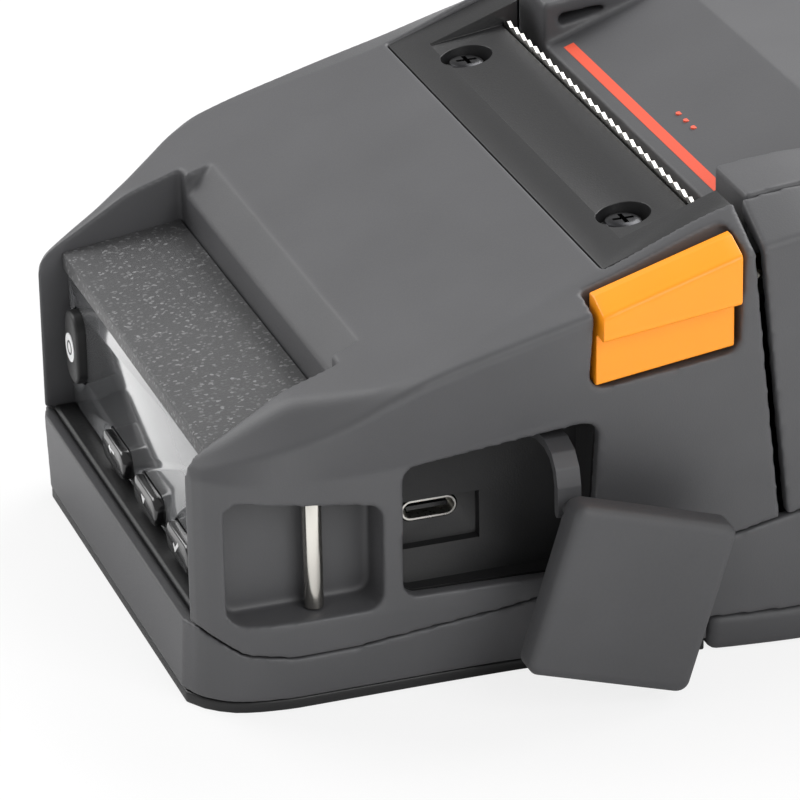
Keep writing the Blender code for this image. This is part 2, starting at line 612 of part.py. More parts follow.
def build_case(grey, black):
    """Upper, rear and lower housings, cut from one skin along the seam and the joint line."""
    wide = HALF_WIDTH + OVERRUN
    above = across("space_above_seam", seam_side(GAP / 2, True), wide)
    below = across("space_below_seam", seam_side(-GAP / 2, False), wide)
    front = across("space_front", joint_side(-JOINT_WIDTH / 2, False), wide)
    rear = across("space_rear", joint_side(JOINT_WIDTH / 2, True), wide)

    upper = skin("upper_housing", 0, 0, grey)
    keep(upper, above, front)
    inside = skin("upper_inside", WALL, -OVERRUN)
    for sign, side in ((1, "right"), (-1, "left")):
        cut(inside, side_box("strap_block_" + side, sign, STRAP_INNER_X - STRAP_WALL,
                             STRAP_FRONT_Y - OVERRUN, STRAP_REAR_Y + STRAP_WALL,
                             STRAP_LOW_Z - STRAP_WALL, STRAP_HIGH_FRONT_Z + STRAP_WALL))
    cut(inside, box("lever_block", (LEVER_POCKET_X - STRAP_WALL, LEVER_FRONT_Y - STRAP_WALL,
                                    LEVER_LOW_FRONT_Z - STRAP_WALL),
                    (wide, JOINT_BASE_Y + OVERRUN, BODY_HEIGHT + OVERRUN)))
    cut(inside, box("brow_block", (-PILLAR_INNER_X - WALL, BROW_REAR_Y, BROW_REAR_Z - OVERRUN),
                    (PILLAR_INNER_X + WALL, BROW_REAR_Y + WALL, BODY_HEIGHT)))
    for sign, side in ((1, "right"), (-1, "left")):
        cut(inside, side_box("brow_wall_" + side, sign, PILLAR_INNER_X, -HALF_LENGTH,
                             BROW_REAR_Y + WALL, STRAP_HIGH_FRONT_Z, BODY_HEIGHT,
                             PILLAR_INNER_X + WALL))
    cut(inside, box("bar_block", (-BAR_HALF_WIDTH - WALL, BAR_FRONT_Y - WALL,
                                  BAR_FRONT_Z - BAR_THICKNESS - WALL),
                    (BAR_HALF_WIDTH + WALL, JOINT_BASE_Y, BODY_HEIGHT + OVERRUN)))
    cut(upper, inside)
    cut(upper, across("brow_cut", brow_outline(), PILLAR_INNER_X))
    cut(upper, across("bevel_cut", bevel_outline(), BEVEL_HALF_WIDTH))
    cut(upper, box("display_cut", (-PILLAR_INNER_X, -HALF_LENGTH - OVERRUN, -OVERRUN),
                   (PILLAR_INNER_X, DISPLAY_FACE_Y + WALL + OVERRUN, BROW_REAR_Z)))
    for sign, side in ((1, "right"), (-1, "left")):
        cut(upper, strap_space(side, sign))
    cut(upper, prism("port_cut", "x", [port_outline(0)], PANEL_FACE_X, wide))
    cut(upper, prism("lever_cut", "x", [lever_outline(0)], LEVER_POCKET_X, wide))
    bar_space = across("bar_cut", bar_outline(GAP), BAR_HALF_WIDTH)
    opening = box("bar_opening", (-BAR_HALF_WIDTH, BAR_SEAT_REAR_Y,
                                  BAR_FRONT_Z - BAR_THICKNESS - WALL - OVERRUN),
                  (BAR_HALF_WIDTH, JOINT_BASE_Y + OVERRUN, BODY_HEIGHT))
    cut(upper, bar_space, opening)
    for sign in (-1, 1):
        cut(upper, rod("screw_boss_hole", "z", (sign * SCREW_X, SCREW_Y), BODY_HEIGHT / 2,
                       BODY_HEIGHT, SCREW_SHANK_RADIUS + GAP, steps=SMALL_STEPS))

    shell = skin("rear_housing", 0, 0, grey)
    keep(shell, above, rear)
    hollow = skin("rear_inside", WALL, -OVERRUN)
    pin_reach = lid_pin_reach() + GAP
    swing = math.hypot(LID_REAR_Y - LID_HINGE_Y, LID_HINGE_Z - LID_REAR_LOW_Z) + RUNNING_GAP
    side = LID_HALF_WIDTH + GAP
    cut(shell, hollow, lid_space(), rear_wall_space(),
        rod("lid_swing", "x", (LID_HINGE_Y, LID_HINGE_Z), -side, side, swing),
        rod("pin_hole", "x", (LID_HINGE_Y, LID_HINGE_Z), -pin_reach, pin_reach,
            LID_HINGE_RADIUS + GAP, steps=SMALL_STEPS))

    tray = skin("lower_housing", 0, BASE_THICKNESS + GAP, grey)
    keep(tray, below)
    basin = skin("tray_inside", WALL, BASE_THICKNESS + GAP + TRAY_FLOOR)
    bay_roof = BATTERY_BODY_TOP + GAP
    cut(basin, box("bay_block", (-BATTERY_BODY_HALF_WIDTH - WALL, BATTERY_BODY_FRONT_Y - WALL,
                                 -OVERRUN),
                   (BATTERY_BODY_HALF_WIDTH + WALL, HALF_LENGTH + OVERRUN, bay_roof + WALL)))
    cut(basin, box("sill_block", (-wide, BATTERY_FRONT_Y - WALL, -OVERRUN),
                   (wide, HALF_LENGTH + OVERRUN, BATTERY_SHOE_HEIGHT + GAP + TRAY_FLOOR)))
    cut(tray, basin)
    cut(tray, box("shoe_space", (-wide, BATTERY_FRONT_Y - GAP, -OVERRUN),
                  (wide, HALF_LENGTH + OVERRUN, BATTERY_SHOE_HEIGHT + GAP)))
    cut(tray, box("bay_space", (-BATTERY_BODY_HALF_WIDTH - GAP, BATTERY_BODY_FRONT_Y - GAP,
                                -OVERRUN),
                  (BATTERY_BODY_HALF_WIDTH + GAP, HALF_LENGTH + OVERRUN, bay_roof)))
    for x, y in board_posts():
        join(tray, rod("board_post", "z", (x, y), BASE_THICKNESS + GAP + TRAY_FLOOR / 2,
                       BOARD_HEIGHT_Z - GAP, BOARD_POST_RADIUS, steps=SMALL_STEPS))

    plate = prism("base_plate", "z", [base_outline(BASE_INSET, -HALF_LENGTH + 2 * BASE_INSET,
                                                   BATTERY_FRONT_Y - GAP)],
                  0, BASE_THICKNESS, black)
    for x, y in base_screws():
        cut(plate, rod("base_screw_space", "z", (x, y), -OVERRUN, BASE_SCREW_DEPTH + GAP,
                       BASE_SCREW_RADIUS + GAP, steps=SMALL_STEPS))
    return upper, shell, tray


def side_box(name, sign, near_x, low_y, high_y, low_z, high_z, far_x=None):
    """A cutter on the right side, or its mirror image on the left."""
    far_x = HALF_WIDTH + OVERRUN if far_x is None else far_x
    ends = sorted((sign * near_x, sign * far_x))
    return box(name, (ends[0], low_y, low_z), (ends[1], high_y, high_z))


def brow_outline():
    edge = HALF_LENGTH + OVERRUN
    high = BODY_HEIGHT + OVERRUN
    return [(-edge, BROW_FRONT_Z - BROW_LIP), (BROW_REAR_Y, BROW_REAR_Z - BROW_THICKNESS - GAP),
            (BROW_REAR_Y, high), (-edge, high)]


def bevel_outline():
    high = BODY_HEIGHT + OVERRUN
    return [(BROW_REAR_Y - OVERRUN, BEVEL_LOW_Z), (BROW_REAR_Y, BEVEL_LOW_Z),
            (BEVEL_REAR_Y, BEVEL_REAR_Z), (BEVEL_REAR_Y, high), (BROW_REAR_Y - OVERRUN, high)]


def strap_outline(inset):
    points = [(STRAP_FRONT_Y + inset, STRAP_LOW_Z + inset),
              (STRAP_REAR_Y - inset, STRAP_LOW_Z + inset),
              (STRAP_REAR_Y - inset, STRAP_HIGH_REAR_Z - inset),
              (STRAP_FRONT_Y + inset, STRAP_HIGH_FRONT_Z - inset)]
    return rounded(points, PORT_CORNER)


def strap_space(side, sign):
    ends = sorted((sign * STRAP_INNER_X, sign * (HALF_WIDTH + OVERRUN)))
    return prism("strap_window_" + side, "x", [strap_outline(0)], ends[0], ends[1])


def port_outline(inset):
    points = [(PORT_FRONT_Y + inset, PORT_LOW_Z + inset), (PORT_REAR_Y - inset, PORT_LOW_Z + inset),
              (PORT_REAR_Y - inset, PORT_HIGH_REAR_Z - inset),
              (PORT_FRONT_Y + inset, PORT_HIGH_FRONT_Z - inset)]
    return rounded(points, PORT_CORNER)


def lever_outline(inset):
    points = [(LEVER_FRONT_Y + inset, LEVER_LOW_FRONT_Z + inset),
              (LEVER_REAR_Y - inset, LEVER_LOW_REAR_Z + inset),
              (LEVER_REAR_Y - inset, LEVER_HIGH_REAR_Z - inset),
              (LEVER_FRONT_Y + inset, LEVER_HIGH_FRONT_Z - inset)]
    return rounded(points, PORT_CORNER - inset / 2)


def bar_outline(grow):
    """Side view of the screw bar, which follows the slope of the body's top."""
    return [(BAR_FRONT_Y - grow, BAR_FRONT_Z - BAR_THICKNESS - grow),
            (BAR_REAR_Y + grow, BAR_FRONT_Z - BAR_THICKNESS - grow),
            (BAR_REAR_Y + grow, BAR_REAR_Z + (OVERRUN if grow else 0)),
            (BAR_FRONT_Y - grow, BAR_FRONT_Z + (OVERRUN if grow else 0))]


def lid_pin_reach():
    return LID_HALF_WIDTH + WALL / 2


def lid_space():
    """The opening in the rear housing that the lid closes."""
    reach = LID_HALF_WIDTH + GAP
    return box("lid_opening", (-reach, 0, BODY_HEIGHT / 2),
               (reach, LID_HINGE_Y + LID_KNUCKLE_RADIUS, BODY_HEIGHT + OVERRUN))


def rear_wall_space():
    """The notch in the rear wall that lets the lid's rear edge turn."""
    reach = LID_HALF_WIDTH + GAP
    return box("rear_notch", (-reach, LID_HINGE_Y, LID_REAR_LOW_Z - 2 * GAP),
               (reach, HALF_LENGTH + OVERRUN, BODY_HEIGHT + OVERRUN))


def base_screws():
    return [(sign * BASE_SCREW_X, y) for sign in (-1, 1)
            for y in (BASE_SCREW_FRONT_Y, BASE_SCREW_REAR_Y)]


def board_posts():
    return [(sign * (BOARD_HALF_WIDTH - BOARD_POST_INSET), y) for sign in (-1, 1)
            for y in (BOARD_FRONT_Y + BOARD_POST_INSET, BOARD_REAR_Y - BOARD_POST_INSET)]


def build_base(black, steel, battery_black):
    """Base screws, battery pack and its latch."""
    for number, (x, y) in enumerate(base_screws(), 1):
        screw = rod("base_screw_%d" % number, "z", (x, y), GAP, BASE_SCREW_DEPTH,
                    BASE_SCREW_RADIUS, steel, SMALL_STEPS)
        cross(screw, (x, y), 0, GAP + SCREW_CROSS_DEPTH / 2)

    shoe_top = BATTERY_SHOE_HEIGHT
    pack = prism("battery_pack", "z", [base_outline(0, BATTERY_FRONT_Y, HALF_LENGTH)],
                 0, shoe_top, battery_black)
    soften(pack, BATTERY_EDGE, 3)
    join(pack, box("battery_body", (-BATTERY_BODY_HALF_WIDTH, BATTERY_BODY_FRONT_Y, shoe_top / 2),
                   (BATTERY_BODY_HALF_WIDTH, HALF_LENGTH - BATTERY_CAP_DEPTH,
                    BATTERY_BODY_TOP)))
    join(pack, box("battery_cap", (-BATTERY_BODY_HALF_WIDTH, HALF_LENGTH - 2 * BATTERY_CAP_DEPTH,
                                   shoe_top / 2),
                   (BATTERY_BODY_HALF_WIDTH, HALF_LENGTH - BATTERY_EDGE, BATTERY_BODY_TOP)))
    cut(pack, box("latch_space", (-LATCH_WIDTH / 2 - GAP, HALF_LENGTH - BATTERY_EDGE - LATCH_DEPTH,
                                  LATCH_CENTRE_Z - LATCH_HEIGHT / 2 - GAP),
                  (LATCH_WIDTH / 2 + LATCH_TRAVEL + GAP, HALF_LENGTH + OVERRUN,
                   LATCH_CENTRE_Z + LATCH_HEIGHT / 2 + GAP)))
    latch = box("battery_latch", (-LATCH_WIDTH / 2, HALF_LENGTH - BATTERY_EDGE - LATCH_DEPTH + GAP,
                                  LATCH_CENTRE_Z - LATCH_HEIGHT / 2),
                (LATCH_WIDTH / 2, HALF_LENGTH - BATTERY_EDGE + LATCH_PROUD,
                 LATCH_CENTRE_Z + LATCH_HEIGHT / 2), black)
    soften(latch, LATCH_PROUD / 3)


def cross(target, centre, low, high, axis="z"):
    """The cross slot in a screw head."""
    half = SCREW_CROSS_LENGTH / 2
    thin = SCREW_CROSS_WIDTH / 2
    for wide, deep in ((half, thin), (thin, half)):
        tool = prism("cross_slot", axis, [[(centre[0] - wide, centre[1] - deep),
                                           (centre[0] + wide, centre[1] - deep),
                                           (centre[0] + wide, centre[1] + deep),
                                           (centre[0] - wide, centre[1] + deep)]], low, high)
        cut(target, tool)


def build_display(brow, glass, screen, rubber, key_black):
    """Brow plate, display window and module, buttons and the gasket under them."""
    half = PILLAR_INNER_X - GAP
    front = BROW_FRONT_Y
    rear = BROW_REAR_Y - GAP
    across("brow_plate", [(front, BROW_FRONT_Z - BROW_LIP + GAP), (front + WINDOW_THICKNESS,
                          BROW_FRONT_Z - BROW_LIP + GAP),
                          (front + WINDOW_THICKNESS, BROW_FRONT_Z - BROW_THICKNESS),
                          (rear, BROW_REAR_Z - BROW_THICKNESS), (rear, BROW_REAR_Z),
                          (front, BROW_FRONT_Z)], half, brow)
    window_top = BROW_FRONT_Z - BROW_LIP
    face = DISPLAY_FACE_Y
    window = box("display_window", (-half, face, WINDOW_LOW_Z),
                 (half, face + WINDOW_THICKNESS, window_top), glass)
    board_front = face + WINDOW_THICKNESS + GAP
    box("lcd_module", (LCD_CENTRE_X - LCD_WIDTH / 2, board_front, LCD_CENTRE_Z - LCD_HEIGHT / 2),
        (LCD_CENTRE_X + LCD_WIDTH / 2, board_front + LCD_DEPTH, LCD_CENTRE_Z + LCD_HEIGHT / 2),
        screen)
    keys = zip(("left_key", "middle_key", "right_key"), KEY_CENTRES_X)
    for name, x in keys:
        push_button(name, window, (x, KEY_CENTRE_Z), KEY_WIDTH, KEY_HEIGHT, key_black)
    push_button("power_button", window, (POWER_CENTRE_X, POWER_CENTRE_Z), POWER_WIDTH,
                POWER_HEIGHT, rubber)
    gasket_top = WINDOW_LOW_Z - GAP
    gasket = box("front_gasket", (-half, GASKET_FRONT_Y, gasket_top - GASKET_HEIGHT),
                 (half, GASKET_REAR_Y, gasket_top), rubber)
    cut(gasket, across("under_gasket", seam_side(GAP, False), HALF_WIDTH))


def push_button(name, window, centre, width, height, material):
    """A button that stands proud of the window, and the hole that it slides in."""
    x, z = centre
    low = (x - width / 2, z - height / 2)
    high = (x + width / 2, z + height / 2)
    face = DISPLAY_FACE_Y
    fillet = min(width, height) / 2 * 0.7

    def outline(grow):
        return rounded([(low[0] - grow, low[1] - grow), (high[0] + grow, low[1] - grow),
                        (high[0] + grow, high[1] + grow), (low[0] - grow, high[1] + grow)],
                       fillet)

    cut(window, prism(name + "_hole", "y", [outline(GAP)], face - OVERRUN,
                      face + WINDOW_THICKNESS + OVERRUN))
    button = prism(name, "y", [outline(0)], face - KEY_PROUD, face + WINDOW_THICKNESS - GAP,
                   material)
    return soften(button, KEY_FILLET / 5)


def build_strap_bars(steel):
    for sign, side in ((1, "right"), (-1, "left")):
        top = STRAP_HIGH_REAR_Z + (STRAP_HIGH_FRONT_Z - STRAP_HIGH_REAR_Z) * (
            (STRAP_REAR_Y - STRAP_BAR_Y) / (STRAP_REAR_Y - STRAP_FRONT_Y))
        rod("strap_bar_" + side, "z", (sign * STRAP_BAR_X, STRAP_BAR_Y), STRAP_LOW_Z + GAP,
            top - GAP, STRAP_BAR_RADIUS, steel, SMALL_STEPS)


def build_port(black, steel, contact, rubber):
    """The panel in the port recess, the receptacle in it and the cover on its strap."""
    inner = skin("panel_limit", WALL + GAP, -OVERRUN)
    panel = box("port_panel", (PANEL_BACK_X, PORT_FRONT_Y - PANEL_RIM, PORT_LOW_Z - PANEL_RIM),
                (HALF_WIDTH, PORT_REAR_Y + PANEL_RIM, PORT_HIGH_FRONT_Z + PANEL_RIM), black)
    keep(panel, inner)
    cut(panel, prism("panel_recess", "x", [port_outline(0)], PANEL_FACE_X,
                     HALF_WIDTH + OVERRUN))
    cut(panel, box("strap_bar_side", (0, STRAP_FRONT_Y - OVERRUN, 0),
                   (HALF_WIDTH, STRAP_REAR_Y + STRAP_WALL + GAP, BODY_HEIGHT)))
    mouth = box("usb_pocket", (PANEL_BACK_X + WALL / 2, USB_CENTRE_Y - USB_WIDTH / 2
                               - USB_POCKET_SIDE / 2,
                               USB_CENTRE_Z - USB_HEIGHT / 2 - USB_POCKET_BELOW),
                (HALF_WIDTH, USB_CENTRE_Y + USB_WIDTH / 2 + USB_POCKET_SIDE,
                 USB_CENTRE_Z + USB_HEIGHT / 2 + USB_POCKET_ABOVE))
    back = USB_MOUTH_X - USB_LENGTH
    hole = prism("usb_hole", "x", [oblong((USB_CENTRE_Y, USB_CENTRE_Z), USB_WIDTH + 2 * GAP,
                                          USB_HEIGHT + 2 * GAP)],
                 back - OVERRUN, HALF_WIDTH)
    cut(panel, mouth, hole)
    shell = prism("usb_receptacle", "x",
                  [oblong((USB_CENTRE_Y, USB_CENTRE_Z), USB_WIDTH, USB_HEIGHT)],
                  back, USB_MOUTH_X, steel)
    cut(shell, prism("usb_bore", "x", [oblong((USB_CENTRE_Y, USB_CENTRE_Z),
                                              USB_WIDTH - 2 * USB_SHELL_WALL,
                                              USB_HEIGHT - 2 * USB_SHELL_WALL)],
                     back + USB_SHELL_WALL, USB_MOUTH_X + OVERRUN))
    box("usb_tongue", (back + USB_SHELL_WALL + GAP, USB_CENTRE_Y - USB_TONGUE_WIDTH / 2,
                       USB_CENTRE_Z - USB_TONGUE_HEIGHT / 2),
        (USB_MOUTH_X - USB_TONGUE_SETBACK, USB_CENTRE_Y + USB_TONGUE_WIDTH / 2,
         USB_CENTRE_Z + USB_TONGUE_HEIGHT / 2), contact)

    pivot = bpy.data.objects.new("port_cover_pivot", None)
    PART.objects.link(pivot)
    low = COVER_FACE_X
    pivot.location = (low - COVER_FLANGE_THICKNESS, COVER_PIVOT_Y, COVER_PIVOT_Z)
    face = [(-COVER_WIDTH / 2, -COVER_HEIGHT / 2), (COVER_WIDTH / 2, -COVER_HEIGHT / 2),
            (COVER_WIDTH / 2, COVER_HEIGHT / 2), (-COVER_WIDTH / 2, COVER_HEIGHT / 2)]
    inset = COVER_FLANGE_INSET
    flange = [(-COVER_WIDTH / 2 + inset, -COVER_HEIGHT / 2 + inset),
              (COVER_WIDTH / 2 - inset, -COVER_HEIGHT / 2 + inset),
              (COVER_WIDTH / 2 - inset, COVER_HEIGHT / 2 - inset),
              (-COVER_WIDTH / 2 + inset, COVER_HEIGHT / 2 - inset)]
    cover = prism("port_cover", "x", [rounded(turned(face), COVER_EDGE)], low,
                  low + COVER_THICKNESS, rubber)
    soften(cover, COVER_EDGE / 2)
    join(cover, prism("cover_back", "x", [rounded(turned(flange), COVER_EDGE)],
                      low - COVER_FLANGE_THICKNESS, low + COVER_THICKNESS / 2))
    plug_low = low - 2 * COVER_FLANGE_THICKNESS
    join(cover, prism("cover_plug", "x", [oblong((COVER_CENTRE_Y, COVER_CENTRE_Z), USB_WIDTH,
                                                 USB_HEIGHT)],
                      plug_low, low - COVER_FLANGE_THICKNESS / 2))
    cut(cover, rod("tether_hole", "x", (COVER_PIVOT_Y, COVER_PIVOT_Z),
                   low - 2 * COVER_FLANGE_THICKNESS, low - GAP, TETHER_PIN_RADIUS + GAP,
                   steps=SMALL_STEPS))
    hang(cover, pivot)
    tether(rubber, low - 2 * GAP)


def turned(points):
    """Turn an outline by the cover's tilt and move it to the cover's centre."""
    angle = math.radians(-COVER_TILT_DEGREES)
    return [(COVER_CENTRE_Y + y * math.cos(angle) - z * math.sin(angle),
             COVER_CENTRE_Z + y * math.sin(angle) + z * math.cos(angle)) for y, z in points]


def hang(thing, pivot):
    """Move a part's origin to its joint without moving its shape."""
    spot = Vector(pivot.location)
    thing.data.transform(Matrix.Translation(-spot))
    thing.parent = pivot


def tether(rubber, pin_end):
    """The flat rubber strap out of the recess, with the pin that the cover turns on."""
    half = TETHER_THICKNESS / 2
    pivot = Vector((COVER_FACE_X - COVER_FLANGE_THICKNESS, COVER_PIVOT_Z))
    spine = [pivot + Vector(point) for point in TETHER_LINE]
    spine[0].x = PANEL_FACE_X + TETHER_ROOM
    left = []
    right = []
    for index, point in enumerate(spine):
        before = spine[max(index - 1, 0)]
        after = spine[min(index + 1, len(spine) - 1)]
        along = (after - before).normalized()
        side = Vector((-along.y, along.x)) * half
        left.append(tuple(point + side))
        right.append(tuple(point - side))
    strap = prism("port_cover_strap", "y", [left + right[::-1]],
                  COVER_PIVOT_Y - TETHER_WIDTH / 2, COVER_PIVOT_Y + TETHER_WIDTH / 2, rubber)
    join(strap, rod("tether_pin", "x", (COVER_PIVOT_Y, COVER_PIVOT_Z), spine[-1].x, pin_end,
                    TETHER_PIN_RADIUS, steps=SMALL_STEPS))


def build_bar(black, steel):
    """The screw bar over the print head, its two screws and the tear bar behind it."""
    half = BAR_HALF_WIDTH - GAP
    bar = across("screw_bar", bar_outline(0), half, black)
    slope = (BAR_FLOOR_REAR_Z - BAR_FLOOR_FRONT_Z) / (BAR_FLOOR_REAR_Y - BAR_FLOOR_FRONT_Y)
    edge_z = BAR_FLOOR_REAR_Z
    high = BODY_HEIGHT + OVERRUN
    cut(bar, across("bar_floor_cut", [(BAR_FLOOR_FRONT_Y, BAR_FLOOR_FRONT_Z),
                                      (BAR_FLOOR_REAR_Y, edge_z), (BAR_FLOOR_REAR_Y, high),
                                      (BAR_FLOOR_FRONT_Y, high)], BAR_FLOOR_HALF_WIDTH))
    cut(bar, box("slot_cut", (-BAR_FLOOR_HALF_WIDTH, BAR_FLOOR_REAR_Y, 0),
                 (BAR_FLOOR_HALF_WIDTH, BAR_REAR_Y + OVERRUN, high)))
    top = BAR_FLOOR_FRONT_Z + slope * (SCREW_Y - BAR_FLOOR_FRONT_Y)
    seat = top - SCREW_HOLE_DEPTH
    for sign, side in ((1, "right"), (-1, "left")):
        spot = (sign * SCREW_X, SCREW_Y)
        cut(bar, rod("bar_counterbore", "z", spot, seat, high, SCREW_HOLE_RADIUS))
        cut(bar, rod("bar_screw_hole", "z", spot, 0, high, SCREW_SHANK_RADIUS + GAP,
                     steps=SMALL_STEPS))
        screw = rod("bar_screw_" + side, "z", spot, seat + GAP, seat + GAP + SCREW_HEAD_HEIGHT,
                    SCREW_HEAD_RADIUS, steel, SMALL_STEPS, tip=SCREW_HEAD_RADIUS * 0.8)
        join(screw, rod("bar_screw_shank", "z", spot, seat - SCREW_SHANK_LENGTH,
                        seat + SCREW_HEAD_HEIGHT / 2, SCREW_SHANK_RADIUS, steps=SMALL_STEPS))
        cross(screw, spot, seat + GAP + SCREW_HEAD_HEIGHT - SCREW_CROSS_DEPTH, high)
    blade_top = BAR_FLOOR_REAR_Z + TEAR_BAR_PROUD
    low = blade_top - TEAR_BAR_HEIGHT
    blade_y = BAR_FLOOR_REAR_Y + GAP
    half = BAR_FLOOR_HALF_WIDTH - GAP
    pitch = 2 * half / TEAR_TEETH
    teeth = []
    for index in range(TEAR_TEETH):
        teeth += [(half - pitch * index, blade_top - TEAR_BAR_THICKNESS),
                  (half - pitch * (index + 0.5), blade_top)]
    outline = [(-half, low), (half, low)] + teeth + [(-half, blade_top - TEAR_BAR_THICKNESS)]
    prism("tear_bar", "y", [outline], blade_y, blade_y + TEAR_BAR_THICKNESS, steel)


def lever_ring(y, clearance):
    """Section of the lever at a place along the body: x and z from top to bottom and round."""
    share = (y - LEVER_FRONT_Y) / (LEVER_REAR_Y - LEVER_FRONT_Y)
    high = LEVER_HIGH_FRONT_Z + share * (LEVER_HIGH_REAR_Z - LEVER_HIGH_FRONT_Z)
    lip = LEVER_LIP_FRONT_Z + share * (LEVER_LIP_REAR_Z - LEVER_LIP_FRONT_Z)
    low = LEVER_LOW_FRONT_Z + share * (LEVER_LOW_REAR_Z - LEVER_LOW_FRONT_Z) + clearance
    top = high - LEVER_TOP_DROP
    ridge = high - LEVER_RIDGE_DROP
    return [(LEVER_BACK_X, top), (LEVER_BACK_X, low), (LEVER_PANEL_X, low),
            (LEVER_PANEL_X, lip + GAP), (LEVER_RIDGE_X, lip), (LEVER_RIDGE_X, ridge),
            (LEVER_TOP_X, top)]


def build_lever(orange):
    """The release lever: a proud lip over a sunk panel, sheared to follow the crease."""
    form = bmesh.new()
    rings = []
    for y in (LEVER_FRONT_Y + LEVER_SIDE_GAP, LEVER_REAR_Y - LEVER_SIDE_GAP):
        rings.append([form.verts.new((x, y, z)) for x, z in lever_ring(y, LEVER_SIDE_GAP)])
    count = len(rings[0])
    for index in range(count):
        after = (index + 1) % count
        form.faces.new((rings[0][index], rings[0][after], rings[1][after], rings[1][index]))
    form.faces.new(rings[0])
    form.faces.new(reversed(rings[1]))
    lever = from_bmesh("release_lever", form, orange)
    soften(lever, LEVER_SIDE_GAP / 2)
    pivot = bpy.data.objects.new("lever_pivot", None)
    PART.objects.link(pivot)
    middle = (LEVER_FRONT_Y + LEVER_REAR_Y) / 2
    pivot.location = (LEVER_BACK_X, middle, lever_ring(middle, 0)[0][1] - LEVER_TOP_DROP)
    hang(lever, pivot)


def lid_side(drop):
    """Side view of the lid's top from front to rear, moved down by a drop."""
    places = [LID_FRONT_Y + drop] + [share * HALF_LENGTH for share in LID_LINE_SHARES]
    line = [(y, top_line_z(y) - drop) for y in places]
    line.append((LID_REAR_Y - drop, top_line_z(LID_REAR_Y) - drop))
    return line


def build_lid(grey, black, steel):
    """The paper lid, its inner frame and the pin that it turns on."""
    outer = lid_side(0)
    inner = lid_side(LID_SHELL)
    front_low = LID_SUNK_FRONT_Z - LID_SHELL
    outline = outer + [(LID_REAR_Y, LID_REAR_LOW_Z), (LID_REAR_Y - LID_SHELL, LID_REAR_LOW_Z)]
    outline += list(reversed(inner)) + [(LID_FRONT_Y + LID_SHELL, front_low),
                                        (LID_FRONT_Y, front_low)]
    lid = across("paper_lid", outline, LID_HALF_WIDTH, grey)
    under = [(LID_FRONT_Y, front_low - GAP), (LID_FRONT_Y, LID_SUNK_FRONT_Z + LID_SHELL),
             (LID_SUNK_REAR_Y + LID_SHELL, top_line_z(LID_SUNK_REAR_Y)),
             (LID_SUNK_REAR_Y + LID_SHELL, LID_SUNK_REAR_Z - 2 * LID_SHELL)]
    floor_half = LID_SUNK_HALF_WIDTH + LID_SUNK_WING
    join(lid, across("sunk_floor", under, floor_half))
    sunk = [(LID_FRONT_Y - OVERRUN, sunk_z(LID_FRONT_Y - OVERRUN)),
            (LID_SUNK_REAR_Y, sunk_z(LID_SUNK_REAR_Y)),
            (LID_SUNK_REAR_Y, BODY_HEIGHT + OVERRUN),
            (LID_FRONT_Y - OVERRUN, BODY_HEIGHT + OVERRUN)]
    cut(lid, across("sunk_cut", sunk, LID_SUNK_HALF_WIDTH))
    for sign, side in ((1, "right"), (-1, "left")):
        join(lid, lid_knuckle(sign, side))
    pin_half = lid_pin_reach()
    pivot = bpy.data.objects.new("lid_pivot", None)
    PART.objects.link(pivot)
    pivot.location = (0, LID_HINGE_Y, LID_HINGE_Z)
    for sign, side in ((1, "right"), (-1, "left")):
        cut(lid, rod("knuckle_bore_" + side, "x", (LID_HINGE_Y, LID_HINGE_Z), -pin_half, pin_half,
                     LID_HINGE_RADIUS + GAP, steps=SMALL_STEPS))
    hang(lid, pivot)
    rod("lid_hinge_pin", "x", (LID_HINGE_Y, LID_HINGE_Z), -pin_half, pin_half,
        LID_HINGE_RADIUS, steel, SMALL_STEPS)
    build_lid_frame(black, pivot)
    return pivot


def sunk_z(y):
    share = (y - LID_FRONT_Y) / (LID_SUNK_REAR_Y - LID_FRONT_Y)
    return LID_SUNK_FRONT_Z + share * (LID_SUNK_REAR_Z - LID_SUNK_FRONT_Z)


def lid_knuckle(sign, side):
    """A hinge knuckle under the rear edge of the lid."""
    ends = sorted((sign * LID_KNUCKLE_X, sign * (LID_KNUCKLE_X + LID_KNUCKLE_WIDTH)))
    barrel = circle((LID_HINGE_Y, LID_HINGE_Z), LID_KNUCKLE_RADIUS, SMALL_STEPS, math.pi,
                    math.pi)
    top = top_line_z(LID_HINGE_Y) - LID_SHELL / 2
    outline = barrel + [(LID_HINGE_Y, top), (LID_HINGE_Y - LID_KNUCKLE_RADIUS, top)]
    return prism("lid_knuckle_" + side, "x", [outline], ends[0], ends[1])


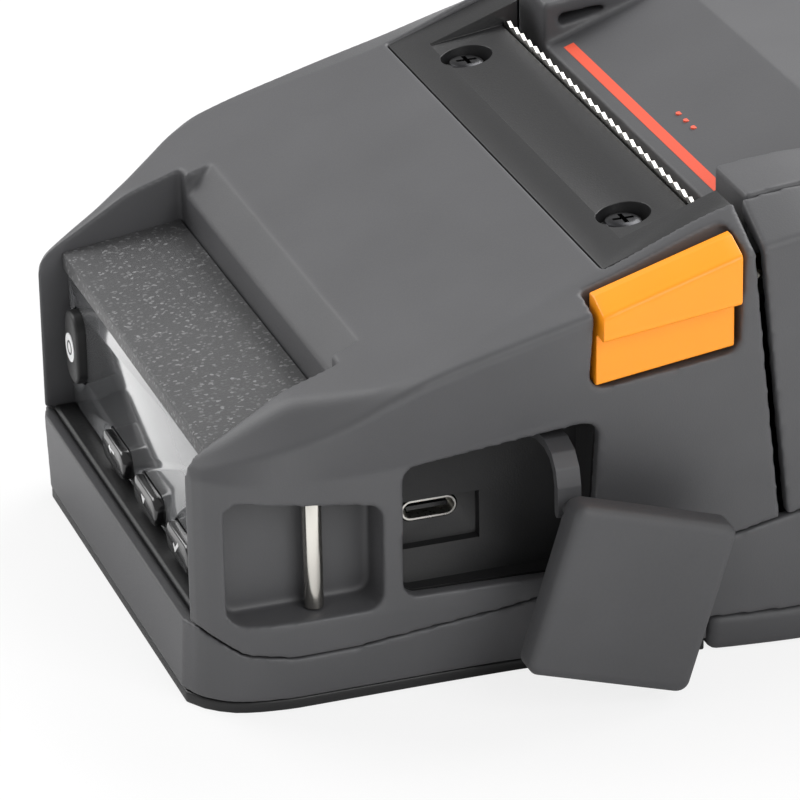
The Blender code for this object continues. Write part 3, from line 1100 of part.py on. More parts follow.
def build_lid_frame(black, pivot):
    """The frame under the lid that carries the platen."""
    top = LID_SUNK_FRONT_Z - LID_SHELL - 2 * GAP
    plates = []
    for sign, side in ((1, "right"), (-1, "left")):
        ends = sorted((sign * LID_PLATE_INNER_X,
                       sign * (LID_PLATE_INNER_X + LID_PLATE_THICKNESS)))
        plates.append(box("frame_plate_" + side,
                          (ends[0], PLATEN_Y - LID_PLATE_HALF_DEPTH * 0.75,
                           PLATEN_Z - LID_PLATE_HALF_DEPTH),
                          (ends[1], PLATEN_Y + LID_PLATE_HALF_DEPTH, top)))
    beam_front = PLATEN_Y + LID_PLATE_HALF_DEPTH - LID_PLATE_THICKNESS
    frame = box("lid_frame", (-LID_PLATE_INNER_X, PLATEN_Y + PLATEN_RADIUS + 2 * GAP,
                              PLATEN_Z - LID_PLATE_HALF_DEPTH),
                (LID_PLATE_INNER_X, beam_front + 2 * LID_PLATE_THICKNESS, top), black)
    for plate in plates:
        join(frame, plate)
    join(frame, box("frame_tie", (-LID_PLATE_INNER_X - LID_PLATE_THICKNESS,
                                  PLATEN_Y + LID_PLATE_HALF_DEPTH - LID_PLATE_THICKNESS,
                                  PLATEN_Z - LID_PLATE_HALF_DEPTH),
                    (LID_PLATE_INNER_X + LID_PLATE_THICKNESS,
                     beam_front + 2 * LID_PLATE_THICKNESS, top)))
    bore = SHAFT_RADIUS + GAP + BUSH_WALL + GAP
    cut(frame, rod("bush_bore", "x", (PLATEN_Y, PLATEN_Z), -HALF_WIDTH, HALF_WIDTH, bore))
    cut(frame, rod("roller_space", "x", (PLATEN_Y, PLATEN_Z), -LID_PLATE_INNER_X,
                   LID_PLATE_INNER_X, PLATEN_RADIUS + GAP))
    hang(frame, pivot)


def gear_outline(centre, teeth, phase, grow=0):
    """Straight-sided gear teeth. The phase is the angle of one tooth's middle."""
    pitch_radius = GEAR_MODULE * teeth / 2
    outer = pitch_radius + GEAR_MODULE * 0.9
    root = pitch_radius - GEAR_MODULE * 1.1
    tooth_angle = 2 * math.pi / teeth
    half_pitch = (GEAR_MODULE * math.pi / 2 - GEAR_BACKLASH) / 2 / pitch_radius
    points = []
    for index in range(teeth):
        middle = phase + tooth_angle * index
        for radius, spread in ((root, -1.55), (outer, -0.5), (outer, 0.5), (root, 1.55)):
            angle = middle + half_pitch * spread
            points.append((centre[0] + radius * math.cos(angle),
                           centre[1] + radius * math.sin(angle)))
    return points


def meshed_phase(phase, teeth, other_teeth, direction):
    """Phase of a gear that meshes with another one, seen in a direction from that one."""
    share = (direction - phase) / (2 * math.pi / teeth) % 1
    return direction + math.pi - (2 * math.pi / other_teeth) * (0.5 - share)


def gear(name, centre, teeth, phase, bore, material):
    low = GEAR_OUTER_X
    high = GEAR_OUTER_X + GEAR_WIDTH
    made = prism(name, "x", [gear_outline(centre, teeth, phase)], low, high, material)
    if bore:
        cut(made, rod(name + "_bore", "x", centre, low - OVERRUN, high + OVERRUN, bore,
                      steps=SMALL_STEPS))
    return made


def build_mechanism(rubber, steel, white, dark, brass, pivot):
    """Platen with its drive, print head, springs, frame and latch shaft."""
    platen = (PLATEN_Y, PLATEN_Z)
    roller = rod("platen_roller", "x", platen, -PLATEN_HALF_WIDTH, PLATEN_HALF_WIDTH,
                 PLATEN_RADIUS, rubber)
    cut(roller, rod("roller_bore", "x", platen, -HALF_WIDTH, HALF_WIDTH, SHAFT_RADIUS + GAP,
                    steps=SMALL_STEPS))
    shaft = rod("platen_shaft", "x", platen, SHAFT_LEFT_X, SHAFT_RIGHT_X, SHAFT_RADIUS, steel,
                SMALL_STEPS)
    phase = math.radians(-90)
    platen_gear = gear("platen_gear", platen, PLATEN_TEETH, phase, SHAFT_RADIUS + GAP, white)
    for sign, side in ((1, "right"), (-1, "left")):
        flange_in = LID_PLATE_INNER_X - GAP
        bush = rod("platen_bush_" + side, "x", platen,
                   *sorted((sign * flange_in, sign * (LID_PLATE_INNER_X + LID_PLATE_THICKNESS
                                                      + BUSH_FLANGE))),
                   SHAFT_RADIUS + GAP + BUSH_WALL, brass, SMALL_STEPS)
        cut(bush, rod("bush_bore_" + side, "x", platen, -HALF_WIDTH, HALF_WIDTH,
                      SHAFT_RADIUS + GAP, steps=SMALL_STEPS))
        hang(bush, pivot)
    for thing in (roller, shaft, platen_gear):
        hang(thing, pivot)

    reach = GEAR_MODULE * (PLATEN_TEETH + IDLER_TEETH) / 2
    idler_centre = (PLATEN_Y, PLATEN_Z - reach)
    idler_phase = meshed_phase(phase, PLATEN_TEETH, IDLER_TEETH, math.radians(-90))
    gear("idler_gear", idler_centre, IDLER_TEETH, idler_phase, STUD_RADIUS + GAP, white)
    direction = math.radians(PINION_DIRECTION_DEGREES)
    reach = GEAR_MODULE * (IDLER_TEETH + PINION_TEETH) / 2
    motor_centre = (idler_centre[0] + reach * math.cos(direction),
                    idler_centre[1] + reach * math.sin(direction))
    pinion_phase = meshed_phase(idler_phase, IDLER_TEETH, PINION_TEETH, direction)
    pinion = gear("motor_pinion", motor_centre, PINION_TEETH, pinion_phase, 0, brass)
    plate_out = -FRAME_PLATE_X - FRAME_PLATE_THICKNESS
    motor_face = -FRAME_PLATE_X + GAP
    join(pinion, rod("pinion_shaft", "x", motor_centre, GEAR_OUTER_X + GEAR_WIDTH / 2,
                     motor_face - GAP, MOTOR_SHAFT_RADIUS, steps=SMALL_STEPS))
    rod("stepper_motor", "x", motor_centre, motor_face, motor_face + MOTOR_LENGTH,
        MOTOR_RADIUS, dark)

    build_frame(dark, idler_centre, motor_centre, plate_out)
    build_head(dark, steel, white)
    build_latch(steel)
    return idler_centre, motor_centre


def build_frame(metal, idler_centre, motor_centre, plate_out):
    """Two side plates on a floor plate, with a bar behind the head springs."""
    edge = FRAME_PLATE_X + FRAME_PLATE_THICKNESS
    frame = box("print_frame", (-edge, FRAME_FRONT_Y, FRAME_LOW_Z),
                (edge, FRAME_REAR_Y, FRAME_LOW_Z + FRAME_FLOOR), metal)
    for sign, side in ((1, "right"), (-1, "left")):
        ends = sorted((sign * FRAME_PLATE_X, sign * edge))
        join(frame, box("frame_side_" + side, (ends[0], FRAME_FRONT_Y, FRAME_LOW_Z),
                        (ends[1], FRAME_REAR_Y, FRAME_HIGH_Z)))
    join(frame, box("frame_ear", (-edge, FRAME_REAR_Y - OVERRUN,
                                  idler_centre[1] - 2 * STUD_RADIUS),
                    (-FRAME_PLATE_X, idler_centre[0] + 2 * STUD_RADIUS,
                     idler_centre[1] + 2 * STUD_RADIUS)))
    join(frame, box("crossbar", (-edge, CROSSBAR_FRONT_Y, CROSSBAR_LOW_Z),
                    (edge, CROSSBAR_FRONT_Y + CROSSBAR_THICKNESS, CROSSBAR_HIGH_Z)))
    join(frame, rod("idler_stud", "x", idler_centre, GEAR_OUTER_X - STUD_HEAD,
                    -FRAME_PLATE_X - FRAME_PLATE_THICKNESS / 2, STUD_RADIUS,
                    steps=SMALL_STEPS))
    cut(frame, rod("motor_shaft_hole", "x", motor_centre, -edge - OVERRUN, -FRAME_PLATE_X + GAP,
                   2 * MOTOR_SHAFT_RADIUS, steps=SMALL_STEPS))
    cut(frame, rod("latch_shaft_hole", "x", (LATCH_SHAFT_Y, LATCH_SHAFT_Z), -HALF_WIDTH,
                   HALF_WIDTH, LATCH_SHAFT_RADIUS + GAP, steps=SMALL_STEPS))


def build_head(metal, steel, ceramic):
    """Print head with its heat sink and the two springs that press it to the platen."""
    box("print_head", (-PLATEN_HALF_WIDTH, HEAD_FRONT_Y, HEAD_LOW_Z),
        (PLATEN_HALF_WIDTH, HEAD_REAR_Y, HEAD_HIGH_Z), ceramic)
    sink_low = HEAD_LOW_Z - SINK_INSET
    sink_high = HEAD_HIGH_Z - 3 * SINK_INSET
    box("head_heat_sink", (-PLATEN_HALF_WIDTH - 2 * SINK_INSET, SINK_FRONT_Y, sink_low),
        (PLATEN_HALF_WIDTH + 2 * SINK_INSET, SINK_REAR_Y, sink_high), metal)
    low = CROSSBAR_FRONT_Y + CROSSBAR_THICKNESS + GAP + SPRING_WIRE
    high = SINK_FRONT_Y - GAP - SPRING_WIRE
    middle = (CROSSBAR_LOW_Z + CROSSBAR_HIGH_Z) / 2
    for sign, side in ((1, "right"), (-1, "left")):
        coil("head_spring_" + side, (sign * SPRING_X, middle), low, high, steel)


def coil(name, centre, low, high, material):
    """A wire wound along y."""
    per_turn = 10
    count = SPRING_TURNS * per_turn
    wire = bpy.data.curves.new(name, "CURVE")
    wire.dimensions = "3D"
    wire.bevel_depth = SPRING_WIRE
    wire.bevel_resolution = 1
    wire.use_fill_caps = True
    spline = wire.splines.new("POLY")
    spline.points.add(count)
    for index, point in enumerate(spline.points):
        angle = 2 * math.pi * index / per_turn
        point.co = (centre[0] + SPRING_RADIUS * math.cos(angle),
                    low + (high - low) * index / count,
                    centre[1] + SPRING_RADIUS * math.sin(angle), 1)
    guide = bpy.data.objects.new(name + "_guide", wire)
    CUTTERS.objects.link(guide)
    graph = bpy.context.evaluated_depsgraph_get()
    mesh = bpy.data.meshes.new_from_object(guide.evaluated_get(graph))
    bpy.data.objects.remove(guide, do_unlink=True)
    mesh.materials.clear()
    form = bmesh.new()
    form.from_mesh(mesh)
    bpy.data.meshes.remove(mesh)
    bmesh.ops.remove_doubles(form, verts=form.verts, dist=GAP / 100)
    return from_bmesh(name, form, material)


def build_latch(steel):
    """The shaft that the lever turns, with an arm at each end beside the platen shaft."""
    centre = (LATCH_SHAFT_Y, LATCH_SHAFT_Z)
    reach = LATCH_ARM_X + LATCH_ARM_THICKNESS
    shaft = rod("latch_shaft", "x", centre, -reach - GAP, reach + GAP, LATCH_SHAFT_RADIUS,
                steel, SMALL_STEPS)
    tip_y = PLATEN_Y - SHAFT_RADIUS - 3 * GAP
    tip_z = PLATEN_Z + SHAFT_RADIUS
    for sign, side in ((1, "right"), (-1, "left")):
        ends = sorted((sign * LATCH_ARM_X, sign * reach))
        outline = [(LATCH_SHAFT_Y, LATCH_SHAFT_Z - LATCH_BOSS_RADIUS),
                   (tip_y, tip_z - LATCH_ARM_WIDTH), (tip_y, tip_z),
                   (LATCH_SHAFT_Y, LATCH_SHAFT_Z + LATCH_BOSS_RADIUS)]
        arm = prism("latch_arm_" + side, "x", [outline], ends[0], ends[1])
        boss = rod("latch_boss_" + side, "x", centre, ends[0], ends[1], LATCH_BOSS_RADIUS,
                   steps=SMALL_STEPS)
        join(shaft, arm, boss)
    return shaft


def build_roll_space(black, white):
    """The cradle for the paper roll and the two guides that centre the roll."""
    centre = (CRADLE_Y, CRADLE_Z)
    outer = CRADLE_RADIUS + CRADLE_SHELL
    lift = math.asin((CRADLE_RIM_Z - CRADLE_Z) / outer)
    arc_out = circle(centre, outer, ROUND_STEPS, math.pi - lift, math.pi + 2 * lift)
    arc_in = circle(centre, CRADLE_RADIUS, ROUND_STEPS, math.pi - lift, math.pi + 2 * lift)
    cradle = across("roll_cradle", arc_out + list(reversed(arc_in)), CRADLE_HALF_WIDTH, black)
    foot_low = BATTERY_BODY_TOP + GAP + WALL + GAP
    join(cradle, box("cradle_foot", (-CRADLE_HALF_WIDTH, CRADLE_Y - 2 * GUIDE_FOOT_WIDTH,
                                     foot_low),
                     (CRADLE_HALF_WIDTH, CRADLE_Y + 2 * GUIDE_FOOT_WIDTH,
                      CRADLE_Z - CRADLE_RADIUS + CRADLE_SHELL / 2)))
    cut(cradle, rod("cradle_bore", "x", centre, -HALF_WIDTH, HALF_WIDTH, CRADLE_RADIUS,
                    steps=ROUND_STEPS * 2))
    for sign, side in ((1, "right"), (-1, "left")):
        ends = sorted((sign * GUIDE_FACE_X, sign * (GUIDE_FACE_X + GUIDE_THICKNESS)))
        guide = rod("paper_guide_" + side, "x", centre, ends[0], ends[1], GUIDE_RADIUS, black)
        hub = sorted((sign * (GUIDE_FACE_X - GUIDE_HUB_HEIGHT),
                      sign * (GUIDE_FACE_X + GUIDE_THICKNESS / 2)))
        join(guide, rod("guide_hub_" + side, "x", centre, hub[0], hub[1], GUIDE_HUB_RADIUS,
                        steps=SMALL_STEPS))
        foot = sorted((sign * (GUIDE_FACE_X - GUIDE_HUB_HEIGHT),
                       sign * (GUIDE_FACE_X + GUIDE_THICKNESS)))
        join(guide, box("guide_foot_" + side,
                        (foot[0], CRADLE_Y - GUIDE_FOOT_WIDTH / 2,
                         CRADLE_Z - CRADLE_RADIUS + 2 * GAP),
                        (foot[1], CRADLE_Y + GUIDE_FOOT_WIDTH / 2, CRADLE_Z - GUIDE_RADIUS / 2)))


def build_electronics(green, metal, brass):
    """Main board with its wireless module, and the battery contacts."""
    board = box("main_board", (-BOARD_HALF_WIDTH, BOARD_FRONT_Y, BOARD_HEIGHT_Z),
                (BOARD_HALF_WIDTH, BOARD_REAR_Y, BOARD_HEIGHT_Z + BOARD_THICKNESS), green)
    middle = (BOARD_FRONT_Y + BOARD_REAR_Y) / 2
    top = BOARD_HEIGHT_Z + BOARD_THICKNESS
    edge = BOARD_HALF_WIDTH - MODULE_INSET
    join(board, box("processor", (edge - MODULE_SIZE, middle, top - GAP),
                    (edge, middle + MODULE_SIZE, top + MODULE_HEIGHT / 2)))
    box("wireless_module", (-edge, middle - MODULE_SIZE / 2, top + GAP),
        (-edge + MODULE_SIZE, middle + MODULE_SIZE / 2, top + GAP + MODULE_HEIGHT), metal)
    rear = BATTERY_BODY_FRONT_Y - GAP - WALL - GAP
    low = BASE_THICKNESS + TRAY_FLOOR + 2 * GAP
    box("battery_contacts", (-CONTACT_WIDTH / 2, BATTERY_FRONT_Y - WALL - GAP - CONTACT_DEPTH, low),
        (CONTACT_WIDTH / 2, min(rear, BATTERY_FRONT_Y - WALL - GAP), low + CONTACT_HEIGHT), brass)


def main():
    start_scene()
    grey = finish("grey_plastic", (0.075, 0.075, 0.077), 0.55)
    black = finish("black_plastic", (0.015, 0.015, 0.016), 0.4)
    brow = finish("coarse_plastic", (0.05, 0.05, 0.052), 0.6)
    rubber = finish("black_rubber", (0.03, 0.03, 0.03), 0.8)
    orange = finish("orange_plastic", (1.0, 0.38, 0.01), 0.4)
    steel = finish("polished_steel", (0.7, 0.69, 0.67), 0.2, 1.0)
    dark = finish("dark_metal", (0.25, 0.25, 0.26), 0.4, 1.0)
    brass = finish("brass", (0.8, 0.6, 0.3), 0.3, 1.0)
    glass = finish("display_pane", (0.5, 0.5, 0.5), 0.1)
    screen = finish("display_screen", (0.6, 0.6, 0.6), 0.3)
    white = finish("white_plastic", (0.8, 0.8, 0.78), 0.4)
    green = finish("circuit_board", (0.02, 0.15, 0.06), 0.4)

    build_case(grey, black)
    build_base(black, steel, rubber)
    build_display(brow, glass, screen, rubber, black)
    build_strap_bars(steel)
    build_port(black, steel, black, rubber)
    build_bar(black, steel)
    build_lever(orange)
    pivot = build_lid(grey, black, steel)
    build_mechanism(rubber, steel, white, dark, brass, pivot)
    build_roll_space(black, white)
    build_electronics(green, dark, brass)


main()
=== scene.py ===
import math

import bmesh
import bpy
from mathutils import Matrix, Vector


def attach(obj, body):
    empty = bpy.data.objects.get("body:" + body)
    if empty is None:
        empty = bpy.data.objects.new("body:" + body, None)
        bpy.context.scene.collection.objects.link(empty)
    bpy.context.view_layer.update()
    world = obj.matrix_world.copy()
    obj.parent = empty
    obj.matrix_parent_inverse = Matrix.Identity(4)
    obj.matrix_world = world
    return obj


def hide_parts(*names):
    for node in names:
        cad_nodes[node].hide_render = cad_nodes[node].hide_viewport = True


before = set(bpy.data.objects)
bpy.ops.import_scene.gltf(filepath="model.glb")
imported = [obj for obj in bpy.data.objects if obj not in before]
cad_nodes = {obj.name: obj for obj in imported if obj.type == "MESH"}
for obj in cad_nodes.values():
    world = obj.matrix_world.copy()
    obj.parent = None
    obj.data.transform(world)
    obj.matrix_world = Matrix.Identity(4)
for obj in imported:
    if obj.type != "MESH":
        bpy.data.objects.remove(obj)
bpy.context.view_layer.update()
MM = 0.001

# Skin of the body as cross sections: place along the length, then width and height of the top
# edge, the side crease and the lower crease, and the widths at the seam and at the base.
SECTIONS = (
    (-79.5, 36.9, 42.2, 39.6, 41.2, 41.1, 39.8, 41.1, 39.0),
    (-76.9, 41.1, 43.6, 44.0, 42.0, 45.3, 40.6, 45.3, 43.0),
    (-72.7, 43.0, 45.9, 46.6, 43.4, 48.3, 40.4, 48.3, 46.0),
    (-68.0, 44.0, 48.7, 48.8, 44.9, 49.6, 40.1, 49.6, 47.2),
    (-63.0, 46.0, 51.6, 51.0, 46.6, 50.0, 39.9, 50.0, 47.7),
    (-57.0, 50.5, 53.7, 54.6, 50.0, 50.3, 39.8, 50.0, 47.7),
    (-51.0, 54.5, 55.8, 57.4, 54.2, 50.8, 40.1, 50.1, 47.7),
    (-46.0, 55.5, 57.5, 58.7, 57.0, 51.6, 40.8, 50.3, 47.7),
    (-30.0, 52.5, 62.9, 59.2, 61.6, 54.2, 44.4, 51.0, 47.9),
    (-14.4, 50.5, 68.0, 59.5, 65.5, 56.8, 48.6, 52.0, 49.0),
    (8.0, 50.5, 75.9, 59.5, 71.0, 57.6, 50.9, 54.5, 53.0),
    (20.0, 50.5, 77.0, 59.5, 72.5, 57.6, 51.5, 55.0, 54.0),
    (50.0, 50.5, 77.0, 59.5, 72.0, 57.6, 51.5, 55.5, 54.0),
    (70.0, 50.5, 73.0, 59.0, 67.0, 57.0, 48.0, 55.0, 53.0),
    (78.0, 50.5, 66.0, 56.0, 60.0, 55.0, 45.0, 53.0, 51.0),
    (81.0, 50.5, 58.0, 53.0, 51.0, 52.0, 40.0, 50.0, 47.5),
)
SEAM = ((-81, 15.4), (-78, 15.2), (-72, 11.2), (-64, 9.9), (-54, 10.1), (-30, 13.1), (6, 21.5),
        (17, 24.0), (30, 26.2), (81, 26.2))


def shape(name, form):
    """Turn a form in millimetres into an object in metres, with its faces pointing out."""
    bmesh.ops.recalc_face_normals(form, faces=form.faces)
    bmesh.ops.scale(form, vec=(MM, MM, MM), verts=form.verts)
    mesh = bpy.data.meshes.new(name)
    form.to_mesh(mesh)
    form.free()
    thing = bpy.data.objects.new(name, mesh)
    bpy.context.scene.collection.objects.link(thing)
    return thing


def loft(name, rings):
    """A closed form through rings of the same number of points, capped at both ends."""
    form = bmesh.new()
    rows = [[form.verts.new(point) for point in ring] for ring in rings]
    count = len(rows[0])
    for first, second in zip(rows, rows[1:]):
        for index in range(count):
            after = (index + 1) % count
            form.faces.new((first[index], first[after], second[after], second[index]))
    form.faces.new(rows[0])
    form.faces.new(rows[-1][::-1])
    return shape(name, form)


def prism(name, axis, outline, low, high):
    """A flat outline extruded along an axis: (y, z) along x, (x, z) along y, (x, y) along z."""
    spot = {"x": lambda u, v, w: (w, u, v), "y": lambda u, v, w: (u, w, v),
            "z": lambda u, v, w: (u, v, w)}[axis]
    return loft(name, [[spot(u, v, w) for u, v in outline] for w in (low, high)])


def block(name, low, high):
    return prism(name, "z", [(low[0], low[1]), (high[0], low[1]), (high[0], high[1]),
                             (low[0], high[1])], low[2], high[2])


def arc(centre, radius, steps=48, start=0.0, sweep=360.0):
    """Points on an arc in degrees. A full turn leaves out the repeated last point."""
    count = steps if sweep == 360.0 else steps + 1
    turns = [math.radians(start + sweep * i / steps) for i in range(count)]
    return [(centre[0] + radius * math.cos(t), centre[1] + radius * math.sin(t)) for t in turns]


def rod(name, axis, centre, low, high, radius, steps=48):
    return prism(name, axis, arc(centre, radius, steps), low, high)


def rounded(points, radius, steps=6, closed=True):
    """Round the corners of an outline. The radius is one number, or one for each point."""
    result = []
    count = len(points)
    radii = radius if isinstance(radius, (list, tuple)) else [radius] * count
    for index, point in enumerate(points):
        if not closed and index in (0, count - 1) or radii[index] <= 0:
            result.append(tuple(point))
            continue
        here = Vector(point)
        before = Vector(points[index - 1]) - here
        after = Vector(points[(index + 1) % count]) - here
        half = before.angle(after) / 2
        reach = min(radii[index] / math.tan(half), before.length * 0.49, after.length * 0.49)
        start = here + before.normalized() * reach
        end = here + after.normalized() * reach
        weight = math.sin(half)
        for step in range(steps + 1):
            t = step / steps
            sides = (1 - t) ** 2, 2 * t * (1 - t) * weight, t ** 2
            total = sum(sides)
            result.append(tuple((start * sides[0] + here * sides[1] + end * sides[2]) / total))
    return result


def oblong(centre, width, height, steps=12):
    reach = (width - height) / 2
    return (arc((centre[0] + reach, centre[1]), height / 2, steps, -90, 180)
            + arc((centre[0] - reach, centre[1]), height / 2, steps, 90, 180))


def settle(thing):
    """Make a piece's modifiers part of its mesh."""
    graph = bpy.context.evaluated_depsgraph_get()
    mesh = bpy.data.meshes.new_from_object(thing.evaluated_get(graph))
    old = thing.data
    thing.modifiers.clear()
    thing.data = mesh
    bpy.data.meshes.remove(old)
    return thing


def mix(target, operation, *tools):
    for tool in tools:
        step = target.modifiers.new(operation, "BOOLEAN")
        step.operation = operation
        step.solver = "EXACT"
        step.object = tool
    settle(target)
    for tool in tools:
        bpy.data.objects.remove(tool, do_unlink=True)
    return target


def cut(target, *tools):
    return mix(target, "DIFFERENCE", *tools)


def join(target, *tools):
    return mix(target, "UNION", *tools)


def keep(target, *tools):
    return mix(target, "INTERSECT", *tools)


def smooth_shading(thing, degrees=35):
    thing.data.shade_smooth()
    thing.data.set_sharp_from_angle(angle=math.radians(degrees))
    return thing


def soften(thing, width, segments=3, degrees=28):
    """Round the edges of a machined or moulded piece by a width in millimetres."""
    bevel = thing.modifiers.new("rounded_edges", "BEVEL")
    bevel.width = width * MM
    bevel.segments = segments
    bevel.limit_method = "ANGLE"
    bevel.angle_limit = math.radians(degrees)
    bevel.harden_normals = False
    settle(thing)
    return smooth_shading(thing, 50)


def moulded_edges(thing, grain, passes, share):
    """Round every edge of a large moulding, as its mould does, and thin out its flat areas."""
    cells = thing.modifiers.new("cells", "REMESH")
    cells.mode = "VOXEL"
    cells.voxel_size = grain * MM
    ease = thing.modifiers.new("ease", "SMOOTH")
    ease.factor = 0.5
    ease.iterations = passes
    thin = thing.modifiers.new("thin", "DECIMATE")
    thin.ratio = share
    settle(thing)
    thing.data.shade_smooth()
    even = thing.modifiers.new("even", "WEIGHTED_NORMAL")
    even.keep_sharp = False
    return thing


def section_at(y):
    """One cross section of the skin, smoothly between the rows of the table."""
    rows = SECTIONS
    for index in range(len(rows) - 1):
        if y <= rows[index + 1][0] or index == len(rows) - 2:
            break
    low, high = rows[index], rows[index + 1]
    before, after = rows[max(index - 1, 0)], rows[min(index + 2, len(rows) - 1)]
    span = high[0] - low[0]
    t = (y - low[0]) / span
    values = []
    for column in range(1, 9):
        rise = (high[column] - low[column]) / span
        left = (low[column] - before[column]) / (low[0] - before[0]) if index else rise
        right = ((after[column] - high[column]) / (after[0] - high[0])
                 if index < len(rows) - 2 else rise)
        first = 0 if left * rise <= 0 else 2 * left * rise / (left + rise)
        last = 0 if right * rise <= 0 else 2 * right * rise / (right + rise)
        values.append((2 * t ** 3 - 3 * t ** 2 + 1) * low[column]
                      + (t ** 3 - 2 * t ** 2 + t) * span * first
                      + (3 * t ** 2 - 2 * t ** 3) * high[column]
                      + (t ** 3 - t ** 2) * span * last)
    return values


def body_form(name, inset, low_z, step=1.2):
    """The body's outer form, or the space inside it at a distance below the skin."""
    front, rear = SECTIONS[0][0], SECTIONS[-1][0]
    count = round((rear - front) / step)
    places = [front + (rear - front) * i / count for i in range(count + 1)]
    ends = [(places[0], 1.2, 0.0), (places[0] + 0.35, 0.45, 0.0)] if not inset else []
    rings = []
    for y in places:
        tx, tz, cx, cz, lx, lz, sx, bx = section_at(y)
        soft = 2.0 + 2.5 * max(0.0, min(1.0, (-44 - y) / 14))
        half = [(0, tz - inset), (tx - inset / 2, tz - inset), (cx - inset, cz - inset / 2),
                (lx - inset, lz - inset / 2), (sx - inset, 15.4), (bx - inset, low_z)]
        shrink = 0.0
        if not inset:
            near = min(y - front, rear - y)
            shrink = 1.1 * max(0.0, 1 - near / 1.2) ** 2
        half = rounded(half, [0, soft, 1.3, 0.8, 3, 0], 5, False)
        ring = [(max(x - shrink, 0), z - shrink * (z > 30)) for x, z in half]
        whole = ring + [(-x, z) for x, z in reversed(ring[1:])]
        rings.append([(x, y * (1 - inset / 81), z) for x, z in whole])
    return loft(name, rings)


def seam_space(shift, above):
    """The space above or below the seam, moved away from it by a shift."""
    line = [(y, z + shift) for y, z in SEAM]
    line[0] = (-90, line[0][1])
    line[-1] = (90, line[-1][1])
    far = 90 if above else -5
    return prism("seam_space", "x", line + [(90, far), (-90, far)], -70, 70)


def joint_space(shift, rear):
    far = 90 if rear else -90
    return prism("joint_space", "x", [(13.6 + shift, -5), (13.6 + shift, 23), (7.4 + shift, 70.5),
                                      (6.8 + shift, 85), (far, 85), (far, -5)], -70, 70)


def both_sides(make):
    return [make(1), make(-1)]


def side_prism(sign, outline, near, far=70):
    low, high = sorted((sign * near, sign * far))
    return prism("side_prism", "x", outline, low, high)


STRAP_WINDOW = ((-74.5, 16.5), (-50.3, 16.5), (-50.3, 34.2), (-74.5, 37.6))
PORT_OPENING = ((-47.2, 17.8), (-17.2, 17.8), (-17.2, 45.5), (-47.2, 40.0))
LEVER_POCKET = ((-19.2, 50.8), (5.0, 54.0), (5.0, 74.4), (-19.2, 67.2))


# Finishes

def linear(code):
    """A colour written as six hex digits, as the shader wants it."""
    parts = [int(code[i:i + 2], 16) / 255 for i in (0, 2, 4)]
    return tuple(p / 12.92 if p <= 0.04045 else ((p + 0.055) / 1.055) ** 2.4 for p in parts) + (1,)


def add(tree, kind, settings=(), links=()):
    """A shader node with its settings, and what is linked into its sockets."""
    node = tree.nodes.new(kind)
    for key, value in dict(settings).items():
        if isinstance(key, int) or key in node.inputs:
            node.inputs[key].default_value = value
        else:
            setattr(node, key, value)
    for key, source in dict(links).items():
        tree.links.new(source, node.inputs[key])
    return node


def finish(name, code, rough, grain=0.3, relief=0.0, mottle=0.06, metallic=0.0, ior=1.5,
           coat=0.0, painted_glints=0.0, specular=0.5, brushed=None):
    """A procedural finish: slow colour variation, grain of a real size in mm, painted glints."""
    made = bpy.data.materials.new(name)
    made.use_nodes = True
    tree = made.node_tree
    shader = tree.nodes["Principled BSDF"]
    where = add(tree, "ShaderNodeTexCoord").outputs["Object"]
    if brushed:
        where = add(tree, "ShaderNodeMapping", {"Scale": brushed}, {0: where}).outputs[0]
    slow = add(tree, "ShaderNodeTexNoise", {"Scale": 1 / (18 * MM), "Detail": 3}, {"Vector": where})
    fine = add(tree, "ShaderNodeTexNoise", {"Scale": 1 / (grain * MM), "Detail": 4,
                                            "Roughness": 0.6}, {"Vector": where})
    level = add(tree, "ShaderNodeMapRange", {"From Min": 0.3, "From Max": 0.7,
                                             "To Min": 1 - mottle, "To Max": 1 + mottle},
                {"Value": slow.outputs["Fac"]})
    base = add(tree, "ShaderNodeMix", {"data_type": "RGBA", "blend_type": "MULTIPLY", 0: 1.0,
                                       6: linear(code)}, {7: level.outputs["Result"]})
    colour = base.outputs[2]
    # painted highlights: light grey spots mixed into the colour stand in for glints of light
    if painted_glints:
        cells = add(tree, "ShaderNodeTexVoronoi", {"Scale": 1 / (grain * 1.1 * MM)},
                    {"Vector": where})
        painted_glint_mask = add(tree, "ShaderNodeMapRange", {"From Min": 0.72, "From Max": 1.0,
                                                  "To Min": 0.0, "To Max": painted_glints},
                     {"Value": cells.outputs["Color"]})
        colour = add(tree, "ShaderNodeMix", {"data_type": "RGBA", 7: (0.75, 0.75, 0.76, 1)},
                     {0: painted_glint_mask.outputs["Result"], 6: colour}).outputs[2]
    tree.links.new(colour, shader.inputs["Base Color"])
    polish = add(tree, "ShaderNodeMapRange", {"From Min": 0.25, "From Max": 0.75,
                                              "To Min": max(rough - 0.06, 0.02),
                                              "To Max": rough + 0.06},
                 {"Value": fine.outputs["Fac"]})
    tree.links.new(polish.outputs["Result"], shader.inputs["Roughness"])
    if relief:
        height = fine.outputs["Fac"]
        bump = add(tree, "ShaderNodeBump", {"Strength": 1.0, "Distance": relief * MM},
                   {"Height": height})
        tree.links.new(bump.outputs["Normal"], shader.inputs["Normal"])
    shader.inputs["Metallic"].default_value = metallic
    shader.inputs["IOR"].default_value = ior
    shader.inputs["Specular IOR Level"].default_value = specular
    shader.inputs["Coat Weight"].default_value = coat
    shader.inputs["Coat Roughness"].default_value = 0.08
    return made


# ABS and polycarbonate, moulded on a spark-eroded tool: an even matt dark grey
case_plastic = finish("ABS_spark_eroded_grey", "4c4c4e", 0.5, 0.28, 0.022)
# the same plastic from a coarse-etched tool; the glints of its facets are painted highlights
brow_plastic = finish("ABS_coarse_etched", "474748", 0.5, 0.42, 0.11, painted_glints=0.28)
# black ABS with a fine grain, for the screw bar and the recess behind the ports
black_plastic = finish("ABS_fine_grain_black", "1b1b1c", 0.42, 0.35, 0.03)
